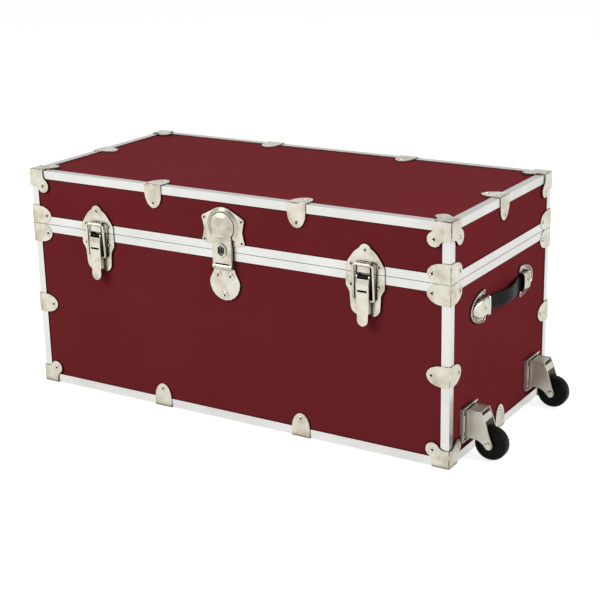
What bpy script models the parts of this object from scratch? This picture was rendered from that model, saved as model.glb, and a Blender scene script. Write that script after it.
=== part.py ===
"""Wheeled storage trunk: plywood boards, aluminium edge trims, steel corners and clamps, two draw
latches, a hasp lock, leather handles, a continuous hinge, a slotted lid stay and two lift-off casters.

The trunk is laid out in millimetres about the middle of its box: +X is the caster end, -Y the front,
+Z up, and Z = 0 is the underside of the four bottom corners it stands on.
"""

import math

import bmesh
import bpy
from mathutils import Matrix, Vector

for old in list(bpy.data.objects):
    bpy.data.objects.remove(old, do_unlink=True)

MM = 0.001

# Overall size over the corner pieces: the base and the lid meet at the seam
WIDTH = 812.8
DEPTH = 383.0
BASE_HEIGHT = 296.0
LID_HEIGHT = 97.0
LID_OPEN = 100.0

# Boards, aluminium trims and steel plates
BOARD = 9.5
TRIM_T = 1.5
TRIM_LEG = 14.0
TRIM_ROUND = 0.9
PLATE_T = 1.5
GAP = 0.3
LAP = 0.1
SEAM_GAP = 0.4
TONGUE_CLEAR = 1.3
TONGUE_RISE = 7.0

# Heights of the layers above a board
TRIM_OUT = GAP + TRIM_T
OVER_TRIM = TRIM_OUT + GAP
CLAMP_OUT = OVER_TRIM + PLATE_T
CORNER_PROUD = 0.4
CORNER_OUT = CLAMP_OUT + CORNER_PROUD

# Board faces and the edges of the trims
PX = WIDTH / 2 - CORNER_OUT
PY = DEPTH / 2 - CORNER_OUT
PB = CORNER_OUT
PT = BASE_HEIGHT + LID_HEIGHT - CORNER_OUT
SEAM = BASE_HEIGHT
BASE_RIM_TOP = SEAM - SEAM_GAP
LID_RIM_BOTTOM = SEAM + SEAM_GAP
BASE_RIM_LOW = SEAM - TRIM_LEG
LID_RIM_HIGH = SEAM + TRIM_LEG
BASE_WALL_TOP = BASE_RIM_TOP - TRIM_T - GAP
LID_WALL_LOW = LID_RIM_BOTTOM + TRIM_T + GAP
BOTTOM_TRIM_TOP = PB - TRIM_OUT + TRIM_LEG
TOP_TRIM_LOW = PT + TRIM_OUT - TRIM_LEG

# Edge clamps and corners
CLAMP_HALF = 17.0
CLAMP_REACH = 37.4
CLAMP_SHOULDER = 11.0
CLAMP_LIFT = 0.5
CLAMP_TIP_T = 1.7
CLAMP_FOLD = 1.6
LONG_CLAMP_X = 139.0
LID_CLAMP_RISE = 15.0
BASE_CLAMP_DROP = 16.0
CORNER_SIDE = 30.0
CORNER_ROUND = 2.6
EAR_AT = 25.0
EAR_R = 12.0
EAR_DROP = 0.03
EAR_BLEND = 7.0

# Continuous hinge along the back of the rims
HINGE_CLEAR = 15.0
HINGE_HALF = PX - CLAMP_REACH - HINGE_CLEAR
HINGE_LEAF = 13.6
KNUCKLE_R = 3.5
KNUCKLES = 9
KNUCKLE_SIDE = 0.4
LEAF_CLEAR = 0.7
HINGE_PIN_R = 1.5
HINGE_N = OVER_TRIM + KNUCKLE_R

# Draw latches, with heights from the seam
LATCH_INSET = 141.4
LATCH_X = PX - LATCH_INSET
LATCH_HALF = 34.0
LOBE_RISE = 35.5
LOBE_R = 10.8
SHOULDER_RISE = 10.0
LATCH_EAR_R = 9.0
LATCH_EAR_DROP = 20.0
LATCH_FOOT_HALF = 26.0
LATCH_FOOT_DROP = 68.0
LATCH_FOOT_R = 14.0
HUMP_OUT = 8.4
HUMP_RISE = 17.6
LEVER_CLEAR = 0.65
LEVER_EYE_R = 3.75
LEVER_N = CLAMP_OUT + LEVER_CLEAR + LEVER_EYE_R
LEVER_V = -5.0
LEVER_OUT = 10.8
LEVER_T = 1.7
LEVER_IN = LEVER_OUT - LEVER_T
LEVER_LENGTH = 58.0
LEVER_FRONT = 3.8
TAB_R = 10.0
TAB_REACH = 20.5
SLOT_TOP = 19.8
SLOT_HEIGHT = 3.4
LUG_T = 1.9
LUG_OUT = LEVER_IN - GAP
LUG_IN = LUG_OUT - LUG_T
LUG_R = 1.8
LATCH_PIN_R = 1.3
LINK_SPAN = 37.0
LINK_V = LEVER_V - LINK_SPAN
LINK_CLEAR = 0.5
LINK_T = 2.3
LINK_IN = LEVER_OUT + LINK_CLEAR
LINK_OUT = LINK_IN + LINK_T
LINK_END_R = 4.4
LINK_PIN_R = 2.2
LINK_TOP = 19.6
LINK_BAR = 4.4
LINK_BAR_CLEAR = 0.8
LINK_DEPTH = 4.1
LINK_CORNER = 5.0
CATCH_HALF = LINK_IN - LINK_CLEAR

# Hasp lock, with heights from the seam
HEAD_RISE = 42.0
HEAD_R = 23.5
HEAD_CLEAR = 1.2
HEAD_OUT = 10.0
HEAD_STEP = 0.9
DISC_R = 16.8
CUP_WALL = 1.4
CUP_SKIRT = 4.6
CUP_OUT = 7.0
FLANGE_R = 31.5
FLANGE_EAR_U = 36.0
FLANGE_EAR_R = 5.2
FLANGE_HIGH_EAR = 11.0
FLANGE_LOW_EAR = 25.0
HASP_HALF = 18.3
HASP_V = -24.5
HASP_LIFT = 0.6
HASP_DEPTH = 5.4
HASP_EDGE = 0.7
HASP_BARREL_R = 4.2
HASP_N = CLAMP_OUT + 3.0
HASP_KNUCKLE = 5.7
HASP_SIDE = 0.6
HASP_PIN_R = 1.5
SHIELD_T = 3.1
SHIELD_HALF = 29.3
SHIELD_V = -53.0
SHIELD_DROP = 30.0
BOSS_RISE = 1.5
SHIELD_BOSS_R = 6.4
PLUG_V = 3.0
PLUG_R = 5.6
PLUG_BACK = 1.7
PLUG_PROUD = 0.6
COLLAR_HALF_U = 9.0
COLLAR_HALF_V = 12.3
COLLAR_T = 1.5
COLLAR_RIM = 2.4
COLLAR_SINK = 0.9
KEYWAY_HALF = 1.0

# Handles, on both ends, with heights from the handle's middle line
HANDLE_DROP = 64.0
HANDLE_HALF = 119.0
STRAP_T = 5.0
STRAP_HALF_V = 12.5
STRAP_CLEAR = 0.4
STRAP_BOW = 10.0
STRAP_PLAY = 3.5
STRAP_SIDE = 0.9
CAP_T = 1.8
CAP_HALF_V = 26.5
CAP_HORN_R = 7.5
CAP_SWEEP = 161.0
CAP_OUT = GAP + CAP_T
POCKET_WALL = 1.6
POCKET_INSET = 7.0
POCKET_LENGTH = 43.5
POCKET_END = 26.0
POCKET_EDGE = 2.8
POCKET_FLARE = 1.0
POCKET_LIP = 3.5
POCKET_TOE = 1.2
POCKET_CLEAR = 1.2
STRAP_SEAT = CAP_OUT + STRAP_CLEAR + STRAP_T / 2
POCKET_IN = STRAP_SEAT + STRAP_T / 2 + STRAP_PLAY + POCKET_CLEAR
POCKET_OUT = POCKET_IN + POCKET_WALL
POCKET_FAR = HANDLE_HALF - POCKET_INSET
POCKET_MOUTH = POCKET_FAR - POCKET_LENGTH
CAVITY_FAR = POCKET_FAR - POCKET_END
STRAP_END = CAVITY_FAR - STRAP_PLAY
BOW_HALF = POCKET_MOUTH + 11.5
CAVITY_HALF_V = STRAP_HALF_V + STRAP_SIDE
POCKET_HALF_V = CAVITY_HALF_V + POCKET_WALL

# Casters, on the right end, with heights from the floor
RAIL_HALF = 25.5
RAIL_CLEAR = 0.5
CASTER_Y = PY - EAR_AT - EAR_R - RAIL_CLEAR - RAIL_HALF
RAIL_LOW = 30.0
RAIL_HIGH = 83.5
RAIL_T = 1.6
RAIL_OPEN = 4.0
LIP_RISE = 17.0
LIP_DROP = 5.0
STOP_T = 2.7
WHEEL_R = 26.8
WHEEL_HALF = 10.5
WHEEL_FLOOR = 2.9
WHEEL_BACK = 18.0
TREAD_ROUND = 3.8
RIM_R = 20.0
RIM_DEPTH = 1.0
HUB_R = 8.0
HUB_CLEAR = 0.5
AXLE_N = WHEEL_BACK + WHEEL_R
AXLE_V = WHEEL_FLOOR + WHEEL_R
AXLE_R = 3.0
AXLE_HEAD_R = 5.4
AXLE_HEAD_T = 2.6
FORK_HALF = 16.0
FORK_T = 2.0
FORK_PLATE_T = 2.9
FORK_SLIDE = 0.5
FORK_BOSS_R = 6.6
FORK_TOP_BACK = 12.5
FORK_FLANGE_OUT = 8.6
FORK_FLANGE_T = 2.2
STRIP_LENGTH = 10.5
STRIP_T = 1.6

# Lid stay, on the inside of the right end, with heights from the seam
STAY_INSET = 78.5
STAY_Y = PY - STAY_INSET
STAY_DROP = 20.5
STAY_CLEAR = 2.1
STAY_T = 2.0
STAY_HALF = 7.0
STAY_PIN_R = 2.7
STAY_SLOT_R = 3.1
STAY_END_CLEAR = 0.5
STAY_HEAD_R = 5.5
STAY_HEAD_T = 1.4
STAY_SIDE = 0.4
STAY_N = -(BOARD + TONGUE_CLEAR + TRIM_T + STAY_CLEAR)

parts = bpy.data.collections.new("storage_trunk")
cutters = bpy.data.collections.new("trunk_cutters")
bpy.context.scene.collection.children.link(parts)
bpy.context.scene.collection.children.link(cutters)

FINISH = {
    "board": ((0.147, 0.018, 0.022), 0.55, 0.0),
    "trim": ((0.80, 0.81, 0.80), 0.32, 1.0),
    "nickel": ((0.70, 0.66, 0.58), 0.28, 1.0),
    "leather": ((0.012, 0.012, 0.013), 0.5, 0.0),
    "wheel": ((0.008, 0.008, 0.009), 0.45, 0.0),
}


def frame(u, v, n, origin):
    """Local axes as columns, with the origin in millimetres."""
    matrix = Matrix((u, v, n)).transposed().to_4x4()
    matrix.translation = Vector(origin) * MM
    return matrix


# Face frames: u runs along the face, v up from the seam and n out from the board
FRONT = frame((1, 0, 0), (0, 0, 1), (0, -1, 0), (0, -PY, SEAM))
BACK = frame((-1, 0, 0), (0, 0, 1), (0, 1, 0), (0, PY, SEAM))
RIGHT = frame((0, 1, 0), (0, 0, 1), (1, 0, 0), (PX, 0, SEAM))
LEFT = frame((0, -1, 0), (0, 0, 1), (-1, 0, 0), (-PX, 0, SEAM))
PLAN = frame((1, 0, 0), (0, 1, 0), (0, 0, 1), (0, 0, 0))

# Turns that let an outline be drawn in a face's (u, n) section or in its (n, v) side view
ACROSS = Matrix(((1, 0, 0, 0), (0, 0, -1, 0), (0, 1, 0, 0), (0, 0, 0, 1)))
UPRIGHT = Matrix(((0, 0, -1, 0), (0, 1, 0, 0), (1, 0, 0, 0), (0, 0, 0, 1)))


def shifted(face, u, v, n=0.0):
    return face @ Matrix.Translation(Vector((u, v, n)) * MM)


def finished(obj, kind):
    colour, rough, metal = FINISH[kind]
    material = bpy.data.materials.new(obj.name + "_finish")
    material.use_nodes = True
    shader = material.node_tree.nodes["Principled BSDF"]
    shader.inputs["Base Color"].default_value = (*colour, 1.0)
    shader.inputs["Roughness"].default_value = rough
    shader.inputs["Metallic"].default_value = metal
    obj.data.materials.clear()
    obj.data.materials.append(material)
    return obj


def solid(name, bm):
    bmesh.ops.recalc_face_normals(bm, faces=bm.faces)
    mesh = bpy.data.meshes.new(name)
    bm.to_mesh(mesh)
    bm.free()
    obj = bpy.data.objects.new(name, mesh)
    parts.objects.link(obj)
    return obj


def evaluated_bmesh(obj):
    """The object's mesh with its modifiers, welded, in a bmesh."""
    bpy.context.view_layer.update()
    graph = bpy.context.evaluated_depsgraph_get()
    mesh = bpy.data.meshes.new_from_object(obj.evaluated_get(graph))
    bm = bmesh.new()
    bm.from_mesh(mesh)
    bpy.data.meshes.remove(mesh)
    bmesh.ops.remove_doubles(bm, verts=bm.verts, dist=1e-6)
    return bm


def baked(obj):
    """The object's evaluated shape as a plain mesh object of the same name."""
    name = obj.name
    bm = evaluated_bmesh(obj)
    tools = [m.object for m in obj.modifiers if m.type == "BOOLEAN"]
    bpy.data.objects.remove(obj, do_unlink=True)
    for item in tools:
        bpy.data.objects.remove(item, do_unlink=True)
    return solid(name, bm)


def rounded(bm, edges, offset, steps):
    bmesh.ops.bevel(
        bm, geom=edges, offset=offset * MM, segments=steps, affect="EDGES", profile=0.5
    )


def box(name, low, high, face=PLAN, bevel=0.0, steps=1):
    low, high = Vector(low) * MM, Vector(high) * MM
    bm = bmesh.new()
    bmesh.ops.create_cube(bm, size=1.0)
    bmesh.ops.scale(bm, vec=high - low, verts=bm.verts)
    bmesh.ops.translate(bm, vec=(low + high) / 2, verts=bm.verts)
    if bevel:
        rounded(bm, bm.edges[:], bevel, steps)
    bmesh.ops.transform(bm, matrix=face, verts=bm.verts)
    return solid(name, bm)


def plate(name, outline, low, high, face, holes=(), crown=None, soft=None):
    """A flat outline in a face's (u, v) plane, from low to high above it.

    crown gives the upper side's height at a point, and soft the bevel of an edge between two points.
    """
    curve = bpy.data.curves.new(name, "CURVE")
    curve.dimensions = "2D"
    curve.fill_mode = "BOTH"
    curve.extrude = (high - low) / 2 * MM
    for ring in (outline, *holes):
        spline = curve.splines.new("POLY")
        spline.points.add(len(ring) - 1)
        for point, (u, v) in zip(spline.points, ring):
            point.co = (u * MM, v * MM, 0, 1)
        spline.use_cyclic_u = True
    guide = bpy.data.objects.new(name, curve)
    parts.objects.link(guide)
    bm = evaluated_bmesh(guide)
    bpy.data.objects.remove(guide, do_unlink=True)
    bpy.data.curves.remove(curve)
    for vert in bm.verts:
        upper = vert.co.z > 0
        vert.co.z += (low + high) / 2 * MM
        if crown and upper:
            vert.co.z = crown(vert.co.x / MM, vert.co.y / MM) * MM
    if soft:
        bmesh.ops.dissolve_limit(bm, angle_limit=0.001, verts=bm.verts, edges=bm.edges)
        edges = [e for e in bm.edges if soft[2](*(v.co / MM for v in e.verts))]
        rounded(bm, edges, soft[0], soft[1])
    bmesh.ops.transform(bm, matrix=face, verts=bm.verts)
    return solid(name, bm)


def rod(name, centre, along, length, radius, face, sides=16):
    """A round bar centred in a face's (u, v, n) frame, along one of its axes."""
    bm = bmesh.new()
    bmesh.ops.create_cone(
        bm,
        cap_ends=True,
        segments=sides,
        radius1=radius * MM,
        radius2=radius * MM,
        depth=length * MM,
    )
    turn = Matrix()
    if along != "n":
        turn = Matrix.Rotation(math.pi / 2, 4, "Y" if along == "u" else "X")
    bmesh.ops.transform(bm, matrix=shifted(face, *centre) @ turn, verts=bm.verts)
    return solid(name, bm)


def turned(name, profile, place, steps):
    """A profile of (radius, height) points turned about the local Z axis of place."""
    bm = bmesh.new()
    verts = [bm.verts.new((r * MM, 0, h * MM)) for r, h in profile]
    for first, second in zip(verts, verts[1:]):
        bm.edges.new((first, second))
    if profile[0][0] > 0:
        bm.edges.new((verts[-1], verts[0]))
    mesh = bpy.data.meshes.new(name)
    bm.to_mesh(mesh)
    bm.free()
    guide = bpy.data.objects.new(name, mesh)
    parts.objects.link(guide)
    screw = guide.modifiers.new("turn", "SCREW")
    screw.axis = "Z"
    screw.steps = steps
    screw.render_steps = steps
    screw.use_merge_vertices = True
    screw.merge_threshold = 0.00001
    shape = evaluated_bmesh(guide)
    bpy.data.objects.remove(guide, do_unlink=True)
    bmesh.ops.transform(shape, matrix=place, verts=shape.verts)
    return solid(name, shape)


def loft(name, rings, face):
    """A closed skin over rings of (u, v, n) points, with flat ends."""
    bm = bmesh.new()
    loops = [[bm.verts.new(Vector(point) * MM) for point in ring] for ring in rings]
    for first, second in zip(loops, loops[1:]):
        for i in range(len(first)):
            bm.faces.new((first[i - 1], first[i], second[i], second[i - 1]))
    bm.faces.new(loops[0])
    bm.faces.new(loops[-1])
    bmesh.ops.transform(bm, matrix=face, verts=bm.verts)
    return solid(name, bm)


def boolean(obj, tool, operation):
    for holder in list(tool.users_collection):
        holder.objects.unlink(tool)
    cutters.objects.link(tool)
    tool.hide_render = True
    tool.display_type = "WIRE"
    modifier = obj.modifiers.new(tool.name, "BOOLEAN")
    modifier.operation = operation
    modifier.object = tool
    modifier.solver = "EXACT"


def cut(obj, *tools):
    for tool in tools:
        boolean(obj, tool, "DIFFERENCE")
    return obj


def join(obj, *tools):
    for tool in tools:
        boolean(obj, tool, "UNION")
    return obj


def copied(template, name, matrix):
    """A placed copy of a template. A mirroring matrix turns the faces back out."""
    bm = bmesh.new()
    bm.from_mesh(template.data)
    bmesh.ops.transform(bm, matrix=matrix, verts=bm.verts)
    if matrix.determinant() < 0:
        bmesh.ops.reverse_faces(bm, faces=bm.faces)
    return solid(name, bm)


def arc(cu, cv, radius, first, last, steps):
    angles = [math.radians(first + (last - first) * i / steps) for i in range(steps + 1)]
    return [(cu + radius * math.cos(a), cv + radius * math.sin(a)) for a in angles]


def bell(start, end, steps):
    """An S-curve between two points, upright at both ends, without the end points."""
    shares = [i / steps for i in range(1, steps)]
    eased = [0.5 - 0.5 * math.cos(math.pi * t) for t in shares]
    return [
        (start[0] + (end[0] - start[0]) * e, start[1] + (end[1] - start[1]) * t)
        for t, e in zip(shares, eased)
    ]


def mirrored(half):
    """A half outline, from top to bottom at positive u, closed by its mirror image."""
    return half + [(-u, v) for u, v in reversed(half) if abs(u) > 1e-6]


def band(name, out, low, high):
    """A block over the whole plan, its sides this far outside the boards (negative is inside)."""
    return box(name, (-PX - out, -PY - out, low), (PX + out, PY + out, high))


# Boards: the walls stand on the bottom board, and the lid's top board covers its walls
def wall_boards(prefix, low, high):
    """Front and back boards over the full width, and end boards between them."""
    inner = PY - BOARD - GAP
    places = {
        "front": ((-PX, -PY, low), (PX, -PY + BOARD, high)),
        "back": ((-PX, PY - BOARD, low), (PX, PY, high)),
        "left": ((-PX, -inner, low), (-PX + BOARD, inner, high)),
        "right": ((PX - BOARD, -inner, low), (PX, inner, high)),
    }
    for side, (corner, opposite) in places.items():
        finished(box(f"{prefix}_{side}_panel", corner, opposite), "board")


finished(box("base_bottom_panel", (-PX, -PY, PB), (PX, PY, PB + BOARD)), "board")
finished(box("lid_top_panel", (-PX, -PY, PT - BOARD), (PX, PY, PT)), "board")
wall_boards("base", PB + BOARD + GAP, BASE_WALL_TOP)
wall_boards("lid", LID_WALL_LOW, PT - BOARD - GAP)


# A clamp folds over an edge: a bullet-shaped leaf on each face, thinning towards its tip
def leaf_outline():
    rise = CLAMP_REACH - CLAMP_SHOULDER
    tip = [
        (CLAMP_HALF * math.cos(a), CLAMP_SHOULDER + rise * math.sin(a))
        for a in (math.pi / 2, 1.2, 0.8, 0.4, 0.0)
    ]
    return mirrored(tip + [(CLAMP_HALF, -CLAMP_OUT)])


def leaf_height(u, v):
    fall = (CLAMP_OUT - CLAMP_LIFT - CLAMP_TIP_T) / (CLAMP_REACH + CLAMP_OUT)
    return CLAMP_OUT - fall * (v + CLAMP_OUT)


def make_clamp():
    face_leaf = frame((-1, 0, 0), (0, 0, -1), (0, -1, 0), (0, 0, 0))
    clamp = plate("clamp", leaf_outline(), CLAMP_LIFT, CLAMP_OUT, face_leaf, crown=leaf_height)
    join(clamp, plate("clamp_leaf", leaf_outline(), CLAMP_LIFT, CLAMP_OUT, PLAN, crown=leaf_height))
    clamp = baked(clamp)
    bm = bmesh.new()
    bm.from_mesh(clamp.data)
    ridge = Vector((0, -CLAMP_OUT, CLAMP_OUT)) * MM
    fold = [e for e in bm.edges if all((v.co - ridge).yz.length < 1e-5 for v in e.verts)]
    rounded(bm, fold, CLAMP_FOLD, 2)
    bm.to_mesh(clamp.data)
    bm.free()
    return clamp


clamp_template = make_clamp()


def clamp_on(name, first, second, at):
    """A clamp over the edge between two faces, given by their outward normals."""
    p, q = Vector(first), Vector(second)
    return copied(clamp_template, name, frame(q.cross(p), -p, q, at))


def edge_clamps(prefix, up, z):
    """Two clamps on each long edge and one on each short edge."""
    made = []
    for side, label in ((-1, "front"), (1, "back")):
        for x in (-LONG_CLAMP_X, LONG_CLAMP_X):
            tag = f"{prefix}_{label}_{'left' if x < 0 else 'right'}_clamp"
            made.append(clamp_on(tag, (0, side, 0), (0, 0, up), (x, side * PY, z)))
    for side, label in ((-1, "left"), (1, "right")):
        made.append(clamp_on(f"{prefix}_{label}_clamp", (side, 0, 0), (0, 0, up), (side * PX, 0, z)))
    return made


# Edge trims: aluminium angles mitred round the bottom and the top
bottom_trim = band("base_bottom_trim", TRIM_OUT, PB - TRIM_OUT, BOTTOM_TRIM_TOP)
cut(bottom_trim, band("bottom_trim_inside", GAP, PB - GAP, PB + 2 * TRIM_LEG))
cut(bottom_trim, band("bottom_trim_opening", TRIM_OUT - TRIM_LEG, -TRIM_LEG, PB + GAP))
join(bottom_trim, *edge_clamps("bottom", -1, PB))
finished(bottom_trim, "trim")

top_trim = band("lid_top_trim", TRIM_OUT, TOP_TRIM_LOW, PT + TRIM_OUT)
cut(top_trim, band("top_trim_inside", GAP, PT - 2 * TRIM_LEG, PT + GAP))
cut(top_trim, band("top_trim_opening", TRIM_OUT - TRIM_LEG, PT - GAP, PT + TRIM_LEG))
join(top_trim, *edge_clamps("top", 1, PT))
finished(top_trim, "trim")


# Closing rims: the base's carries a tongue that stands up inside the lid's walls
base_rim = band("base_rim_trim", TRIM_OUT, BASE_RIM_LOW, BASE_RIM_TOP)
cut(base_rim, band("base_rim_inside", GAP, BASE_RIM_LOW - TRIM_LEG, BASE_RIM_TOP - TRIM_T))
tongue_out = -BOARD - TONGUE_CLEAR
tongue_high = SEAM + TONGUE_RISE
join(base_rim, band("base_rim_tongue", tongue_out, BASE_RIM_TOP - TRIM_T / 2, tongue_high))
hollow = band("base_rim_opening", tongue_out - TRIM_T, BASE_RIM_LOW - TRIM_LEG, tongue_high + TRIM_LEG)
cut(base_rim, hollow)
finished(base_rim, "trim")

lid_rim = band("lid_rim_trim", TRIM_OUT, LID_RIM_BOTTOM, LID_RIM_HIGH)
cut(lid_rim, band("lid_rim_inside", GAP, LID_RIM_BOTTOM + TRIM_T, LID_RIM_HIGH + TRIM_LEG))
cut(lid_rim, band("lid_rim_opening", -BOARD, LID_RIM_BOTTOM - TRIM_LEG, LID_RIM_BOTTOM + TRIM_LEG))


def angle_outline(sx, sy, low, high):
    """Plan of an angle trim on an upright edge, its leaves between two heights above the boards."""
    x, y, t = PX + high, PY + high, high - low
    corner = [
        (x - TRIM_ROUND, y),
        (x - TRIM_LEG, y),
        (x - TRIM_LEG, y - t),
        (x - t, y - t),
        (x - t, y - TRIM_LEG),
        (x, y - TRIM_LEG),
        (x, y - TRIM_ROUND),
    ]
    return [(sx * u, sy * v) for u, v in corner]


corners = [
    (sx, sy, f"{'front' if sy < 0 else 'back'}_{'left' if sx < 0 else 'right'}")
    for sy in (-1, 1)
    for sx in (-1, 1)
]
far = 2 * CLAMP_REACH
for sx, sy, where in corners:
    edge_faces = ((0, sy, 0), (sx, 0, 0))
    edge_x, edge_y = sx * PX, sy * PY

    # Short lid posts and their lower clamps are one piece with the lid's closing rim
    outline = angle_outline(sx, sy, GAP + LAP, TRIM_OUT - LAP)
    post = plate(f"lid_post_{where}", outline, LID_RIM_HIGH - TRIM_T, TOP_TRIM_LOW - GAP, PLAN)
    clamp = clamp_on(f"lid_low_clamp_{where}", *edge_faces, (edge_x, edge_y, SEAM + LID_CLAMP_RISE))
    cut(clamp, band(f"lid_low_seam_{where}", far, SEAM - far, LID_RIM_BOTTOM + LAP / 2))
    join(lid_rim, post, baked(clamp))

    # Base posts carry a clamp at mid height and one under the rim
    outline = angle_outline(sx, sy, GAP, TRIM_OUT)
    post = plate(f"base_corner_trim_{where}", outline, BOTTOM_TRIM_TOP + GAP, BASE_RIM_LOW - GAP, PLAN)
    mid = clamp_on(f"base_mid_clamp_{where}", *edge_faces, (edge_x, edge_y, (PB + SEAM) / 2))
    high = clamp_on(f"base_high_clamp_{where}", *edge_faces, (edge_x, edge_y, SEAM - BASE_CLAMP_DROP))
    cut(high, band(f"base_high_rim_{where}", OVER_TRIM, BASE_RIM_LOW - GAP, SEAM + far))
    cut(high, band(f"base_high_seam_{where}", far, BASE_RIM_TOP, SEAM + far))
    join(post, mid, baked(high))
    finished(post, "trim")
finished(lid_rim, "trim")


# Corner piece: a rounded cap over three edges with a riveted ear on each face
def ear_outline():
    """A round lobe that runs into the cap's sides in hollow curves."""
    inner, notch = CORNER_OUT - CORNER_SIDE, EAR_R - EAR_AT
    ways = ((0.25, 1.0), (0.0, 1.0), (-0.09, 0.53), (-0.29, 0.14))
    blend = [(inner + EAR_BLEND * p, notch + EAR_BLEND * q) for p, q in ways]
    lobe = arc(-EAR_AT, -EAR_AT, EAR_R, 115, 335, 8)
    return blend + lobe + [(v, u) for u, v in reversed(blend)]


def make_corner():
    bm = bmesh.new()
    bmesh.ops.create_cube(bm, size=CORNER_SIDE * MM)
    shift = (CORNER_OUT - CORNER_SIDE / 2) * MM
    bmesh.ops.translate(bm, vec=(shift, shift, shift), verts=bm.verts)
    tip = max(bm.verts, key=lambda v: v.co.x + v.co.y + v.co.z)
    rounded(bm, list(tip.link_edges), CORNER_ROUND, 2)
    corner = solid("corner", bm)
    ways = (
        frame((1, 0, 0), (0, 1, 0), (0, 0, 1), (0, 0, 0)),
        frame((0, 1, 0), (0, 0, 1), (1, 0, 0), (0, 0, 0)),
        frame((0, 0, 1), (1, 0, 0), (0, 1, 0), (0, 0, 0)),
    )
    for i, way in enumerate(ways):
        join(corner, plate(f"ear_{i}", ear_outline(), -TRIM_OUT, CORNER_OUT - EAR_DROP, way))
    reach = 2 * CORNER_SIDE
    inner = TRIM_OUT - TRIM_LEG - GAP
    cut(corner, box("corner_inside", (-reach, -reach, -reach), (GAP, GAP, GAP)))
    for i in range(3):
        low = [inner] * 3
        high = [OVER_TRIM] * 3
        low[i] = -reach
        high[i] = inner / 2 if i else OVER_TRIM
        cut(corner, box(f"corner_trim_{i}", low, high))
    return baked(corner)


corner_template = make_corner()
for sx, sy, where in corners:
    for sz, body, z in ((-1, "base", PB), (1, "lid", PT)):
        place = shifted(PLAN, sx * PX, sy * PY, z) @ Matrix.Diagonal((sx, sy, sz, 1))
        finished(copied(corner_template, f"{body}_corner_{where}", place), "nickel")


# Continuous hinge: two leaves on the rims with interleaved knuckles, and one pin
def hinge_leaf(name, up, owned):
    pitch = 2 * HINGE_HALF / KNUCKLES
    near, far = up * (KNUCKLE_R + LEAF_CLEAR), up * HINGE_LEAF
    low, high = min(near, far), max(near, far)
    leaf = box(name, (-HINGE_HALF, low, OVER_TRIM), (HINGE_HALF, high, CLAMP_OUT), BACK)
    root = near + up * PLATE_T
    for k in owned:
        left = -HINGE_HALF + k * pitch + KNUCKLE_SIDE
        right = left + pitch - 2 * KNUCKLE_SIDE
        web_low = (left, min(0, root), OVER_TRIM + LAP / 2)
        web_high = (right, max(0, root), CLAMP_OUT - LAP / 2)
        middle = ((left + right) / 2, 0, HINGE_N)
        join(
            leaf,
            box(f"{name}_web_{k}", web_low, web_high, BACK),
            rod(f"{name}_knuckle_{k}", middle, "u", right - left, KNUCKLE_R, BACK, 10),
        )
    cut(leaf, rod(f"{name}_bore", (0, 0, HINGE_N), "u", 3 * HINGE_HALF, HINGE_PIN_R + GAP, BACK, 10))
    return finished(leaf, "nickel")


hinge_leaf("hinge_base_leaf", -1, range(0, KNUCKLES, 2))
hinge_leaf("hinge_lid_leaf", 1, range(1, KNUCKLES, 2))
finished(rod("hinge_pin", (0, 0, HINGE_N), "u", 2 * HINGE_HALF, HINGE_PIN_R, BACK, 10), "nickel")


def over_trims(obj, at, half):
    """Relieve the back of a front plate where it passes over the closing rims and the top trim."""
    top = TOP_TRIM_LOW - SEAM - GAP
    rims = TRIM_LEG + GAP
    cut(obj, box(f"{obj.name}_over_rims", (-half, -rims, -BOARD), (half, rims, OVER_TRIM), at))
    cut(obj, box(f"{obj.name}_over_top", (-half, top, -BOARD), (half, top + LID_HEIGHT, OVER_TRIM), at))


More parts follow.
